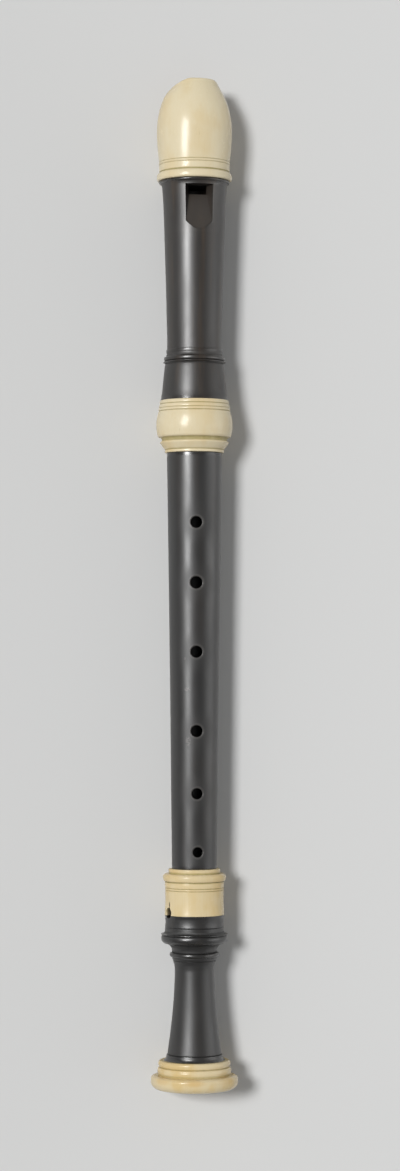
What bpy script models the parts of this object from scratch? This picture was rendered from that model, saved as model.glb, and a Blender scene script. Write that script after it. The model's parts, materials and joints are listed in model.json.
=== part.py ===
"""Alto recorder in three joints: dark wood with ivory mounts, a cedar block and thread-lapped tenons.

The instrument is drawn standing on its foot, bore along Z and finger holes towards -Y, and an
empty then lays it down: bore along +Y, beak at the +Y end, finger holes up. All sizes in metres.
"""

import math

import bmesh
import bpy
from mathutils import Matrix

# Lengths along the bore, from the foot's end face to the beak's tip
FOOT_LENGTH = 0.1105
MIDDLE_LENGTH = 0.2082
HEAD_LENGTH = 0.1863

# Clearance between any two pieces, and the number of flats round a turned piece
FIT_GAP = 0.0003
FACETS = 32
SHARP_ANGLE = math.radians(35)

# Bore
HEAD_BORE_RADIUS = 0.0087
MIDDLE_BORE_TOP_RADIUS = 0.0086
MIDDLE_BORE_BOTTOM_RADIUS = 0.0067
FOOT_BORE_TOP_RADIUS = 0.0065
FOOT_BORE_BOTTOM_RADIUS = 0.0058

# Tenons of the middle joint, each with a channel that holds its lapping
UPPER_TENON_RADIUS = 0.0116
UPPER_TENON_LENGTH = 0.0265
LOWER_TENON_RADIUS = 0.0094
LOWER_TENON_LENGTH = 0.0175
TENON_COLLAR = 0.0035
LAPPING_DEPTH = 0.0012
LAPPING_RIB = 0.0004
UPPER_LAPPING_RIBS = 6
LOWER_LAPPING_RIBS = 4

# Wood that runs on inside the ivory: two socket linings, the foot's spigot and the cap's spigot
HEAD_LINING_RADIUS = 0.0140
FOOT_LINING_RADIUS = 0.0123
RING_LIP = 0.0016
FOOT_SPIGOT_RADIUS = 0.0105
END_FACE_THICKNESS = 0.0025
CAP_SPIGOT_RADIUS = 0.0135
CAP_SPIGOT_LENGTH = 0.0185

# Turned details that several pieces share
GROOVE_WIDTH = 0.0007
GROOVE_DEPTH = 0.0004
EDGE_CHAMFER = 0.0005

# Foot end ring, from its joint with the wood down to the end face
END_RING_LENGTH = 0.0146
END_RING_NECK_RADIUS = 0.0171
END_RING_BEAD_RADIUS = 0.0181
END_RING_BEAD_LENGTH = 0.0034
END_RING_LOWER_BEAD_RADIUS = 0.0176
END_RING_LOWER_BEAD_LENGTH = 0.0036
END_RING_SHELF_RADIUS = 0.0190
END_RING_RADIUS = 0.0221
END_RING_SHOULDER = 0.0018
END_RING_FACE_RADIUS = 0.0176

# Foot's wood, from its joint with the socket ring down to the end ring
FOOT_NECK_RADIUS = 0.0149
FOOT_NECK_LENGTH = 0.0080
FOOT_NECK_BAND_LENGTH = 0.0054
FOOT_FILLET_RADIUS = 0.0167
FOOT_FILLET_LENGTH = 0.0012
FOOT_BEAD_RADIUS = 0.0166
FOOT_BEAD_ROOT_RADIUS = 0.0155
FOOT_BEAD_LENGTH = 0.0036
FOOT_CUP_RADIUS = 0.0148
FOOT_CUP_THROAT_RADIUS = 0.0111
FOOT_CUP_DROP = 0.0012
FOOT_CUP_LENGTH = 0.0041
FOOT_SMALL_RING_RADIUS = 0.0124
FOOT_SMALL_RING_LENGTH = 0.0027
FOOT_THROAT_RADIUS = 0.0114
FOOT_THROAT_LENGTH = 0.0034
FOOT_THROAT_STEP = 0.0003
FOOT_SHAFT_RADIUS = 0.0098
FOOT_FLARE_RADIUS = 0.0136
FOOT_FLARE_POWER = 1.7
FOOT_FLANGE_RADIUS = 0.0155
FOOT_FLANGE_COVE_RADIUS = 0.0140
FOOT_FLANGE_LENGTH = 0.0027

# Foot socket ring, from its rim down to the wood
FOOT_RING_LENGTH = 0.0231
FOOT_RING_RADIUS = 0.0150
FOOT_RING_COLLAR_RADIUS = 0.0147
FOOT_RING_BEAD_RADIUS = 0.0158
FOOT_RING_BEAD_LENGTH = 0.0038
FOOT_RING_RIM_RADIUS = 0.0129
FOOT_RING_RIM_LENGTH = 0.0025
FOOT_RING_COLLAR_LENGTH = 0.0029
FOOT_RING_FINE_BEAD_LENGTH = 0.0006

# Middle joint
MIDDLE_LOWER_RADIUS = 0.0113
MIDDLE_UPPER_RADIUS = 0.0138
MIDDLE_SWELL = 0.00015

# Head socket ring, from its joint with the wood down to its rim
HEAD_RING_LENGTH = 0.0262
HEAD_RING_TOP_RADIUS = 0.0172
HEAD_RING_COLLAR_RADIUS = 0.0180
HEAD_RING_COLLAR_LENGTH = 0.0057
HEAD_RING_GROOVES = 3
HEAD_RING_RADIUS = 0.0192
HEAD_RING_SHOULDER_RADIUS = 0.0185
HEAD_RING_SHOULDER = 0.0060
HEAD_RING_UNDERSIDE_RADIUS = 0.0174
HEAD_RING_UNDERSIDE = 0.0053
HEAD_RING_COVE_RADIUS = 0.0162
HEAD_RING_COVE_LENGTH = 0.0022
HEAD_RING_BEAD_RADIUS = 0.0171
HEAD_RING_BEAD_TOP = 0.0012
HEAD_RING_BEAD_LENGTH = 0.0051
HEAD_RING_RIM_RADIUS = 0.0149

# Head's wood, from the beak cap down to the socket ring
HEAD_RIDGE_RADIUS = 0.0176
HEAD_RIDGE_EDGE = 0.0009
HEAD_RIDGE_LENGTH = 0.0045
HEAD_SHOULDER_RADIUS = 0.0161
HEAD_SHOULDER_FALL = 0.0003
HEAD_SHOULDER_LENGTH = 0.0040
HEAD_WAIST_RADIUS = 0.0137
HEAD_WAIST_LENGTH = 0.0060
HEAD_TAPER_POWER = 0.8
HEAD_MOULDING_RADIUS = 0.0152
HEAD_FINE_BEAD_RADIUS = 0.0156
HEAD_MOULDING_LENGTH = 0.0080
HEAD_MOULDING_FILLET_RADIUS = 0.0140
HEAD_MOULDING_FILLET = 0.0006
HEAD_MOULDING_COVE_RADIUS = 0.0145
HEAD_MOULDING_COVE_LENGTH = 0.0026
HEAD_MOULDING_BEAD_LENGTH = 0.0024
HEAD_FINE_BEAD_LENGTH = 0.0009
HEAD_CONE_LENGTH = 0.0168
HEAD_CONE_RADIUS = 0.0147
HEAD_CONE_FOOT_RADIUS = 0.0163
HEAD_CONE_FOOT_LENGTH = 0.0036
HEAD_BASE_RADIUS = 0.0170

# Beak cap, from its rounded tip down to its collar
CAP_LENGTH = 0.0503
CAP_TIP_RADIUS = 0.0124
TIP_ROUNDING = 0.0016
CAP_RADIUS = 0.0188
CAP_WIDEST_DROP = 0.0250
CAP_WAIST_RADIUS = 0.0178
CAP_COLLAR_RADIUS = 0.0187
CAP_COLLAR_LENGTH = 0.0043
CAP_BEAD_RADIUS = 0.0177
CAP_BEAD_LENGTH = 0.0033
CAP_FINE_BEAD_LENGTH = 0.0010
BEAK_THICKNESS_BEHIND = 0.0025
BEAK_CUT_LENGTH = 0.0350
BEAK_CUT_RADIUS = 0.0450

# Block, windway and window
BLOCK_RADIUS = 0.00945
WINDWAY_WIDTH = 0.0090
WINDWAY_HEIGHT = 0.0012
WINDOW_DROP = 0.0534
CUT_UP = 0.0046
LIP_THICKNESS = 0.0004
LIP_WIDTH = 0.0088
LIP_UNDERCUT_LENGTH = 0.0100
RAMP_LENGTH = 0.0184
RAMP_DEPTH = 0.0008
WINDOW_SPLAY = 0.47

# How far a cutter runs past what it cuts, and how far two cutters lap over each other
CUTTER_REACH = 0.0020
CUTTER_LAP = 0.0001
BEAK_CUT_FACETS = 72

# Finger holes: height above the foot's mouth, radius, and degrees to the right of the line
FINGER_HOLES = (
    (0.1731, 0.00285, -1.4),
    (0.1431, 0.00300, -1.4),
    (0.1086, 0.00290, -0.7),
    (0.0691, 0.00290, 0.0),
    (0.0379, 0.00270, 1.0),
    (0.0087, 0.00250, 2.8),
)
THUMB_HOLE = (0.1819, 0.00310, 180.0)
LITTLE_FINGER_HOLE_HEIGHT = 0.0880
LITTLE_FINGER_HOLE_RADIUS = 0.00265
FOOT_TURN = -68.0
HOLE_UNDERCUT = 0.0006
HOLE_SIDES = 12

# Heights worked out from the sizes above
FOOT_MOUTH = FOOT_LENGTH
HEAD_MOUTH = FOOT_MOUTH + MIDDLE_LENGTH
BEAK_TIP = HEAD_MOUTH + HEAD_LENGTH
FOOT_RING_BASE = FOOT_LENGTH - FOOT_RING_LENGTH
CAP_BASE = HEAD_LENGTH - CAP_LENGTH
WINDOW_TOP = HEAD_LENGTH - WINDOW_DROP
LIP_HEIGHT = WINDOW_TOP - CUT_UP
LIP_LEVEL = HEAD_BORE_RADIUS + LIP_THICKNESS
WINDWAY_FLOOR = math.sqrt(BLOCK_RADIUS**2 - (WINDWAY_WIDTH / 2) ** 2)
WINDWAY_ROOF = WINDWAY_FLOOR + WINDWAY_HEIGHT
BLOCK_SEAT_RADIUS = BLOCK_RADIUS + FIT_GAP
HALF_FACET = math.pi / FACETS
AXIS_HEIGHT = END_RING_RADIUS * math.cos(HALF_FACET)


class Outline:
    """A turned profile as (radius, height) points, drawn down the outside and back up the bore.

    Every method but to() works downwards by a length from the last point.
    """

    def __init__(self, radius, height):
        self.points = [(radius, height)]

    def to(self, radius, height):
        """Straight to the point."""
        self.points.append((radius, height))
        return self

    def down(self, length, radius=None):
        """Straight down, to another radius if one is given."""
        last_radius, last_height = self.points[-1]
        return self.to(last_radius if radius is None else radius, last_height - length)

    def down_to(self, height, radius=None):
        """Straight down to a height."""
        return self.down(self.points[-1][1] - height, radius)

    def across(self, radius):
        """Straight in or out at one height."""
        return self.down(0.0, radius)

    def sideways(self, radius, length, steps=2):
        """Quarter ellipse that leaves across the axis and arrives along it."""
        start_radius, start_height = self.points[-1]
        for step in range(1, steps + 1):
            turn = math.pi / 2 * step / steps
            self.to(
                start_radius + (radius - start_radius) * math.sin(turn),
                start_height - length * (1 - math.cos(turn)),
            )
        return self

    def upright(self, radius, length, steps=2):
        """Quarter ellipse that leaves along the axis and arrives across it."""
        start_radius, start_height = self.points[-1]
        for step in range(1, steps + 1):
            turn = math.pi / 2 * step / steps
            self.to(
                start_radius + (radius - start_radius) * (1 - math.cos(turn)),
                start_height - length * math.sin(turn),
            )
        return self

    def bead(self, crest, length, radius=None):
        """Half-round ring out to a crest and back, to another radius if one is given."""
        root = self.points[-1][0] if radius is None else radius
        return self.sideways(crest, length / 2).upright(root, length / 2)

    def groove(self):
        """Fine V-shaped groove."""
        radius = self.points[-1][0]
        return self.down(GROOVE_WIDTH / 2, radius - GROOVE_DEPTH).down(GROOVE_WIDTH / 2, radius)

    def flare(self, radius, length, power, steps):
        """Curve whose change of radius grows as a power of the distance travelled."""
        start_radius, start_height = self.points[-1]
        for step in range(1, steps + 1):
            share = step / steps
            self.to(start_radius + (radius - start_radius) * share**power, start_height - length * share)
        return self


def make_material(name, color, roughness):
    """Principled material in one colour."""
    material = bpy.data.materials.new(name)
    material.use_nodes = True
    shader = material.node_tree.nodes["Principled BSDF"]
    shader.inputs["Base Color"].default_value = (*color, 1.0)
    shader.inputs["Roughness"].default_value = roughness
    shader.inputs["Metallic"].default_value = 0.0
    material.diffuse_color = (*color, 1.0)
    return material


def add_object(name, mesh, collection, parent, height):
    """Object with its origin on the bore axis, at a height above its parent's."""
    piece = bpy.data.objects.new(name, mesh)
    collection.objects.link(piece)
    piece.parent = parent
    piece.location = (0.0, 0.0, height)
    return piece


def turn_piece(name, outline, material, collection, parent, height):
    """Solid of revolution from a closed outline, with a flat facing each side."""
    count = len(outline.points)
    mesh = bpy.data.meshes.new(name)
    mesh.from_pydata(
        [
            (radius * math.cos(HALF_FACET), radius * math.sin(HALF_FACET), z)
            for radius, z in outline.points
        ],
        [(i, (i + 1) % count) for i in range(count)],
        [],
    )
    mesh.materials.append(material)
    piece = add_object(name, mesh, collection, parent, height)
    screw = piece.modifiers.new("turn", "SCREW")
    screw.axis = "Z"
    screw.angle = 2 * math.pi
    screw.steps = screw.render_steps = FACETS
    screw.use_merge_vertices = True
    screw.merge_threshold = 0.000001
    return piece


def cut(piece, cutter):
    """Takes the cutter's shape out of the piece."""
    boolean = piece.modifiers.new("cut", "BOOLEAN")
    boolean.operation = "DIFFERENCE"
    boolean.solver = "EXACT"
    boolean.object = cutter


def settle(piece):
    """Makes the piece's modifiers its own mesh, smooth except at its sharp edges."""
    bpy.context.view_layer.update()
    graph = bpy.context.evaluated_depsgraph_get()
    mesh = bpy.data.meshes.new_from_object(piece.evaluated_get(graph))
    piece.modifiers.clear()
    piece.data = mesh
    mesh.shade_smooth()
    mesh.set_sharp_from_angle(angle=SHARP_ANGLE)


def add_cutter(name, shape, collection, parent, height):
    """Wire object made from a bmesh, left out of the model."""
    mesh = bpy.data.meshes.new(name)
    shape.to_mesh(mesh)
    shape.free()
    cutter = add_object(name, mesh, collection, parent, height)
    cutter.hide_render = True
    cutter.display_type = "WIRE"
    return cutter


def wedge_cutter(name, lower, upper, floor, roof, half_width, collection, parent):
    """Box whose floor, roof and sides follow the rules given.

    floor and roof give the distance in front of the axis at a height, and half_width gives the
    half width at a distance in front of the axis.
    """
    shape = bmesh.new()
    bmesh.ops.create_cube(shape, size=2.0)
    for corner in shape.verts:
        side, front, end = corner.co
        height = upper if end > 0 else lower
        level = roof(height) if front < 0 else floor(height)
        corner.co = (side * half_width(level), -level, height)
    return add_cutter(name, shape, collection, parent, 0.0)


def hole_cutter(name, height, radius, turn, surface, bore, collection, parent):
    """Cone for a finger hole, as wide as the radius at the surface and wider at the bore."""
    slope = HOLE_UNDERCUT / (surface - bore)
    inner = bore - radius / 2
    outer = surface + radius
    shape = bmesh.new()
    bmesh.ops.create_cone(
        shape,
        cap_ends=True,
        segments=HOLE_SIDES,
        radius1=radius + slope * (surface - inner),
        radius2=radius - slope * (outer - surface),
        depth=outer - inner,
    )
    place = (
        Matrix.Rotation(math.radians(turn), 4, "Z")
        @ Matrix.Translation((0.0, -(inner + outer) / 2, 0.0))
        @ Matrix.Rotation(math.radians(90), 4, "X")
    )
    bmesh.ops.transform(shape, matrix=place, verts=shape.verts)
    return add_cutter(name, shape, collection, parent, height)


def straight_taper(height, low, high, low_radius, high_radius):
    """Radius of an even taper at a height between two ends."""
    return low_radius + (high_radius - low_radius) * (height - low) / (high - low)


def foot_body_outline():
    """Foot's wood: socket lining, neck, bead, cup and small ring, flared shaft and spigot."""
    lining_end = FOOT_LENGTH - RING_LIP - FIT_GAP
    socket_floor = FOOT_LENGTH - LOWER_TENON_LENGTH
    flange_end = END_RING_LENGTH + FIT_GAP
    spigot_end = END_FACE_THICKNESS + FIT_GAP
    outline = Outline(FOOT_LINING_RADIUS, lining_end)
    outline.down_to(FOOT_RING_BASE - FIT_GAP).across(FOOT_NECK_RADIUS)
    outline.down(FOOT_NECK_BAND_LENGTH).groove()
    outline.down(FOOT_NECK_LENGTH - FOOT_NECK_BAND_LENGTH - GROOVE_WIDTH)
    outline.down(EDGE_CHAMFER, FOOT_FILLET_RADIUS).down(FOOT_FILLET_LENGTH - EDGE_CHAMFER)
    outline.across(FOOT_BEAD_ROOT_RADIUS).bead(FOOT_BEAD_RADIUS, FOOT_BEAD_LENGTH)
    outline.down(FOOT_CUP_DROP, FOOT_CUP_RADIUS)
    outline.sideways(FOOT_CUP_THROAT_RADIUS, FOOT_CUP_LENGTH, 3)
    outline.bead(FOOT_SMALL_RING_RADIUS, FOOT_SMALL_RING_LENGTH, FOOT_THROAT_RADIUS)
    outline.flare(FOOT_SHAFT_RADIUS + FOOT_THROAT_STEP, FOOT_THROAT_LENGTH, 0.5, 2)
    outline.down(FOOT_THROAT_STEP, FOOT_SHAFT_RADIUS)
    flare_end = flange_end + FOOT_FLANGE_LENGTH
    flare_length = outline.points[-1][1] - flare_end
    outline.flare(FOOT_FLARE_RADIUS, flare_length, FOOT_FLARE_POWER, 7)
    outline.groove().across(FOOT_FLANGE_COVE_RADIUS)
    outline.upright(FOOT_FLANGE_RADIUS, FOOT_FLANGE_LENGTH - GROOVE_WIDTH)
    outline.across(FOOT_SPIGOT_RADIUS).down_to(spigot_end).across(FOOT_BORE_BOTTOM_RADIUS)
    outline.to(FOOT_BORE_TOP_RADIUS, socket_floor)
    return outline.across(LOWER_TENON_RADIUS + FIT_GAP).to(LOWER_TENON_RADIUS + FIT_GAP, lining_end)


def foot_end_ring_outline():
    """Ivory end of the foot: two beads over the wide round, and the flat end face."""
    outline = Outline(END_RING_NECK_RADIUS, END_RING_LENGTH)
    outline.bead(END_RING_BEAD_RADIUS, END_RING_BEAD_LENGTH)
    outline.bead(END_RING_LOWER_BEAD_RADIUS, END_RING_LOWER_BEAD_LENGTH)
    outline.across(END_RING_SHELF_RADIUS).sideways(END_RING_RADIUS, END_RING_SHOULDER)
    outline.upright(END_RING_FACE_RADIUS, outline.points[-1][1], 3)
    outline.across(FOOT_BORE_BOTTOM_RADIUS).to(FOOT_BORE_BOTTOM_RADIUS, END_FACE_THICKNESS)
    outline.across(FOOT_SPIGOT_RADIUS + FIT_GAP)
    return outline.to(FOOT_SPIGOT_RADIUS + FIT_GAP, END_RING_LENGTH)


def foot_socket_ring_outline():
    """Ivory sleeve round the foot's socket: rim, bead, two fine beads and a plain band."""
    outline = Outline(FOOT_RING_RIM_RADIUS - EDGE_CHAMFER, FOOT_LENGTH)
    outline.down(EDGE_CHAMFER, FOOT_RING_RIM_RADIUS).down(FOOT_RING_RIM_LENGTH - EDGE_CHAMFER)
    outline.across(FOOT_RING_COLLAR_RADIUS - GROOVE_DEPTH)
    outline.bead(FOOT_RING_BEAD_RADIUS, FOOT_RING_BEAD_LENGTH)
    outline.across(FOOT_RING_COLLAR_RADIUS).down(FOOT_RING_COLLAR_LENGTH).groove()
    outline.down(FOOT_RING_FINE_BEAD_LENGTH).groove().down_to(FOOT_RING_BASE, FOOT_RING_RADIUS)
    outline.across(FOOT_LINING_RADIUS + FIT_GAP)
    outline.to(FOOT_LINING_RADIUS + FIT_GAP, FOOT_LENGTH - RING_LIP)
    outline.across(LOWER_TENON_RADIUS + FIT_GAP)
    return outline.to(LOWER_TENON_RADIUS + FIT_GAP, FOOT_LENGTH)


def middle_radius(height):
    """Outer radius of the middle joint at a height above the foot's mouth."""
    share = height / MIDDLE_LENGTH
    even = straight_taper(height, 0.0, MIDDLE_LENGTH, MIDDLE_LOWER_RADIUS, MIDDLE_UPPER_RADIUS)
    return even - 4 * MIDDLE_SWELL * share * (1 - share)


def middle_body_outline(steps=6):
    """Middle joint: two tenons with their channels, and the slender body between the mouths."""
    low = FIT_GAP
    high = MIDDLE_LENGTH - FIT_GAP
    bottom = low - LOWER_TENON_LENGTH
    outline = Outline(UPPER_TENON_RADIUS, high + UPPER_TENON_LENGTH)
    outline.down(TENON_COLLAR).across(UPPER_TENON_RADIUS - LAPPING_DEPTH)
    outline.down_to(high + TENON_COLLAR).across(UPPER_TENON_RADIUS).down_to(high)
    for step in range(steps + 1):
        height = high + (low - high) * step / steps
        outline.to(middle_radius(height), height)
    outline.across(LOWER_TENON_RADIUS).down(TENON_COLLAR)
    outline.across(LOWER_TENON_RADIUS - LAPPING_DEPTH).down_to(bottom + TENON_COLLAR)
    outline.across(LOWER_TENON_RADIUS).down_to(bottom).across(MIDDLE_BORE_BOTTOM_RADIUS)
    return outline.to(MIDDLE_BORE_TOP_RADIUS, high + UPPER_TENON_LENGTH)


def lapping_outline(tenon_radius, low, high, ribs):
    """Wound thread on a tenon: a ribbed sleeve that fills the tenon's channel."""
    root = tenon_radius - LAPPING_RIB
    half_rib = (high - low) / ribs / 2
    outline = Outline(root, high)
    for _ in range(ribs):
        outline.down(half_rib, tenon_radius).down(half_rib, root)
    inner = tenon_radius - LAPPING_DEPTH + FIT_GAP
    return outline.to(inner, low).to(inner, high)


def head_socket_ring_outline():
    """Ivory bulge round the head's socket: grooved collar, bulge, cove, bead and rim."""
    band = HEAD_RING_COLLAR_LENGTH / HEAD_RING_GROOVES - GROOVE_WIDTH
    widening = (HEAD_RING_COLLAR_RADIUS - HEAD_RING_TOP_RADIUS) / HEAD_RING_GROOVES
    outline = Outline(HEAD_RING_TOP_RADIUS, HEAD_RING_LENGTH)
    for groove in range(HEAD_RING_GROOVES):
        outline.down(band, HEAD_RING_TOP_RADIUS + widening * (groove + 1)).groove()
    outline.across(HEAD_RING_SHOULDER_RADIUS)
    outline.sideways(HEAD_RING_RADIUS, HEAD_RING_SHOULDER, 3)
    outline.upright(HEAD_RING_UNDERSIDE_RADIUS, HEAD_RING_UNDERSIDE, 3)
    outline.sideways(HEAD_RING_COVE_RADIUS, HEAD_RING_COVE_LENGTH)
    outline.sideways(HEAD_RING_BEAD_RADIUS, HEAD_RING_BEAD_TOP)
    outline.down(HEAD_RING_BEAD_LENGTH - HEAD_RING_BEAD_TOP, HEAD_RING_RIM_RADIUS - GROOVE_DEPTH)
    outline.across(HEAD_RING_RIM_RADIUS).down_to(EDGE_CHAMFER)
    outline.down(EDGE_CHAMFER, HEAD_RING_RIM_RADIUS - EDGE_CHAMFER)
    outline.across(UPPER_TENON_RADIUS + FIT_GAP).to(UPPER_TENON_RADIUS + FIT_GAP, RING_LIP)
    outline.across(HEAD_LINING_RADIUS + FIT_GAP)
    return outline.to(HEAD_LINING_RADIUS + FIT_GAP, HEAD_RING_LENGTH)


def head_body_outline():
    """Head's wood: spigot for the beak cap, ridge, long head, ring moulding, cone and lining."""
    base = HEAD_RING_LENGTH + FIT_GAP
    moulding = HEAD_RING_LENGTH + HEAD_CONE_LENGTH
    waist = moulding + HEAD_MOULDING_LENGTH
    lining_end = RING_LIP + FIT_GAP
    outline = Outline(CAP_SPIGOT_RADIUS, CAP_BASE + CAP_SPIGOT_LENGTH)
    outline.down_to(CAP_BASE - FIT_GAP).across(HEAD_RIDGE_RADIUS).down(HEAD_RIDGE_EDGE - FIT_GAP)
    outline.sideways(HEAD_SHOULDER_RADIUS, HEAD_RIDGE_LENGTH - HEAD_RIDGE_EDGE)
    outline.down(HEAD_SHOULDER_LENGTH, HEAD_SHOULDER_RADIUS - HEAD_SHOULDER_FALL)
    taper = outline.points[-1][1] - waist - HEAD_WAIST_LENGTH
    outline.flare(HEAD_WAIST_RADIUS, taper, HEAD_TAPER_POWER, 4).down(HEAD_WAIST_LENGTH)
    outline.down(HEAD_MOULDING_FILLET, HEAD_MOULDING_FILLET_RADIUS)
    outline.upright(HEAD_MOULDING_COVE_RADIUS, HEAD_MOULDING_COVE_LENGTH)
    outline.bead(HEAD_MOULDING_RADIUS, HEAD_MOULDING_BEAD_LENGTH, HEAD_CONE_RADIUS)
    outline.bead(HEAD_FINE_BEAD_RADIUS, HEAD_FINE_BEAD_LENGTH).groove()
    outline.down_to(moulding, HEAD_CONE_RADIUS)
    foot = base + HEAD_CONE_FOOT_LENGTH
    outline.flare(HEAD_CONE_FOOT_RADIUS, moulding - foot, HEAD_TAPER_POWER, 2)
    outline.down_to(base, HEAD_BASE_RADIUS).across(HEAD_LINING_RADIUS).down_to(lining_end)
    outline.across(UPPER_TENON_RADIUS + FIT_GAP)
    outline.to(UPPER_TENON_RADIUS + FIT_GAP, UPPER_TENON_LENGTH).across(HEAD_BORE_RADIUS)
    outline.to(HEAD_BORE_RADIUS, WINDOW_TOP - FIT_GAP).across(BLOCK_SEAT_RADIUS)
    return outline.to(BLOCK_SEAT_RADIUS, CAP_BASE + CAP_SPIGOT_LENGTH)


def beak_cap_outline(steps=6):
    """Ivory beak before its cuts: rounded tip, swelling sides and a grooved collar."""
    seat = CAP_BASE + CAP_SPIGOT_LENGTH + FIT_GAP
    beads = CAP_BASE + CAP_COLLAR_LENGTH + CAP_BEAD_LENGTH + CAP_FINE_BEAD_LENGTH + GROOVE_WIDTH
    outline = Outline(CAP_TIP_RADIUS - TIP_ROUNDING, HEAD_LENGTH)
    outline.sideways(CAP_TIP_RADIUS, TIP_ROUNDING)
    run = CAP_WIDEST_DROP - TIP_ROUNDING
    for step in range(steps):
        left = 1 - (step + 1) / steps
        outline.down(run / steps, CAP_RADIUS - (CAP_RADIUS - CAP_TIP_RADIUS) * left**2)
    outline.flare(CAP_WAIST_RADIUS, outline.points[-1][1] - beads, 2.0, 3)
    outline.groove().down_to(CAP_BASE + CAP_COLLAR_LENGTH + CAP_BEAD_LENGTH)
    outline.across(CAP_BEAD_RADIUS - GROOVE_DEPTH).bead(CAP_BEAD_RADIUS, CAP_BEAD_LENGTH)
    outline.down(EDGE_CHAMFER, CAP_COLLAR_RADIUS).down_to(CAP_BASE)
    outline.across(CAP_SPIGOT_RADIUS + FIT_GAP).to(CAP_SPIGOT_RADIUS + FIT_GAP, seat)
    return outline.across(BLOCK_SEAT_RADIUS).to(BLOCK_SEAT_RADIUS, HEAD_LENGTH)


def beak_cutter(collection, parent):
    """Wide cylinder across the back, through the start of the beak's cut and its thin tip."""
    tip = (HEAD_LENGTH, BEAK_THICKNESS_BEHIND)
    start = (HEAD_LENGTH - BEAK_CUT_LENGTH, CAP_RADIUS)
    along = (tip[0] - start[0], tip[1] - start[1])
    chord = math.hypot(*along)
    reach = math.sqrt(BEAK_CUT_RADIUS**2 - (chord / 2) ** 2) / chord
    centre_height = (tip[0] + start[0]) / 2 - along[1] * reach
    centre_back = (tip[1] + start[1]) / 2 + along[0] * reach
    shape = bmesh.new()
    bmesh.ops.create_cone(
        shape,
        cap_ends=True,
        segments=BEAK_CUT_FACETS,
        radius1=BEAK_CUT_RADIUS,
        radius2=BEAK_CUT_RADIUS,
        depth=3 * CAP_RADIUS,
    )
    place = Matrix.Translation((0.0, centre_back, 0.0)) @ Matrix.Rotation(math.radians(90), 4, "Y")
    bmesh.ops.transform(shape, matrix=place, verts=shape.verts)
    return add_cutter("beak_cut", shape, collection, parent, centre_height)


def splayed(level):
    """Half width of the window at a distance in front of the axis."""
    return LIP_WIDTH / 2 + (level - LIP_LEVEL) * WINDOW_SPLAY


def window_cutters(collection, parent):
    """Window, ramp, the undercut below the lip and the windway that leads to it."""
    ramp_rise = HEAD_SHOULDER_RADIUS - RAMP_DEPTH - LIP_LEVEL
    ramp_run_out = LIP_HEIGHT - RAMP_LENGTH - CUTTER_REACH

    def ramp_floor(height):
        return LIP_LEVEL + ramp_rise * (LIP_HEIGHT - height) / RAMP_LENGTH

    def undercut_roof(height):
        drop = HEAD_BORE_RADIUS - math.sqrt(HEAD_BORE_RADIUS**2 - (LIP_WIDTH / 2) ** 2)
        return HEAD_BORE_RADIUS - drop * (LIP_HEIGHT - height) / LIP_UNDERCUT_LENGTH

    def level_at(distance):
        return lambda height: distance

    def width_of(size):
        return lambda level: size / 2

    inside = level_at(HEAD_BORE_RADIUS / 2)
    outside = level_at(HEAD_RIDGE_RADIUS + CUTTER_REACH)
    lip = width_of(LIP_WIDTH)
    undercut_low = LIP_HEIGHT - LIP_UNDERCUT_LENGTH
    plan = (
        ("window_cut", LIP_HEIGHT, WINDOW_TOP, level_at(LIP_LEVEL), outside, splayed),
        ("throat_cut", LIP_HEIGHT, WINDOW_TOP, inside, level_at(LIP_LEVEL + CUTTER_LAP), lip),
        ("ramp_cut", ramp_run_out, LIP_HEIGHT + CUTTER_LAP, ramp_floor, outside, splayed),
        ("lip_undercut", undercut_low, LIP_HEIGHT, inside, undercut_roof, lip),
    )
    return [
        wedge_cutter(name, low, high, floor, roof, width, collection, parent)
        for name, low, high, floor, roof, width in plan
    ]


def windway_cutter(collection, parent):
    """Flat slot above the block, from the window to beyond the beak's tip."""
    return wedge_cutter(
        "windway_cut",
        WINDOW_TOP - CUTTER_LAP,
        HEAD_LENGTH + CUTTER_REACH,
        lambda height: BLOCK_RADIUS / 2,
        lambda height: WINDWAY_ROOF,
        lambda level: WINDWAY_WIDTH / 2,
        collection,
        parent,
    )


def make_block(material, collection, parent):
    """Cedar block: a plug with a flat windway floor along its front."""
    height = HEAD_LENGTH - TIP_ROUNDING / 2 - WINDOW_TOP
    shape = bmesh.new()
    bmesh.ops.create_cone(
        shape,
        cap_ends=True,
        segments=FACETS,
        radius1=BLOCK_RADIUS,
        radius2=BLOCK_RADIUS,
        depth=height,
    )
    place = Matrix.Translation((0.0, 0.0, height / 2)) @ Matrix.Rotation(HALF_FACET, 4, "Z")
    bmesh.ops.transform(shape, matrix=place, verts=shape.verts)
    mesh = bpy.data.meshes.new("block")
    shape.to_mesh(mesh)
    shape.free()
    mesh.materials.append(material)
    return add_object("block", mesh, collection, parent, WINDOW_TOP)


def build_foot(wood, ivory, parts, cutters, stand):
    """Foot joint: wooden foot, ivory end ring and ivory socket ring, with the little finger's hole."""
    body = turn_piece("foot_body", foot_body_outline(), wood, parts, stand, 0.0)
    end = turn_piece("foot_end_ring", foot_end_ring_outline(), ivory, parts, body, 0.0)
    ring = turn_piece("foot_socket_ring", foot_socket_ring_outline(), ivory, parts, body, 0.0)
    hole = hole_cutter(
        "little_finger_hole",
        LITTLE_FINGER_HOLE_HEIGHT,
        LITTLE_FINGER_HOLE_RADIUS,
        FOOT_TURN,
        FOOT_RING_RADIUS,
        FOOT_BORE_TOP_RADIUS,
        cutters,
        body,
    )
    cut(body, hole)
    cut(ring, hole)
    for piece in (body, end, ring):
        settle(piece)


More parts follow.
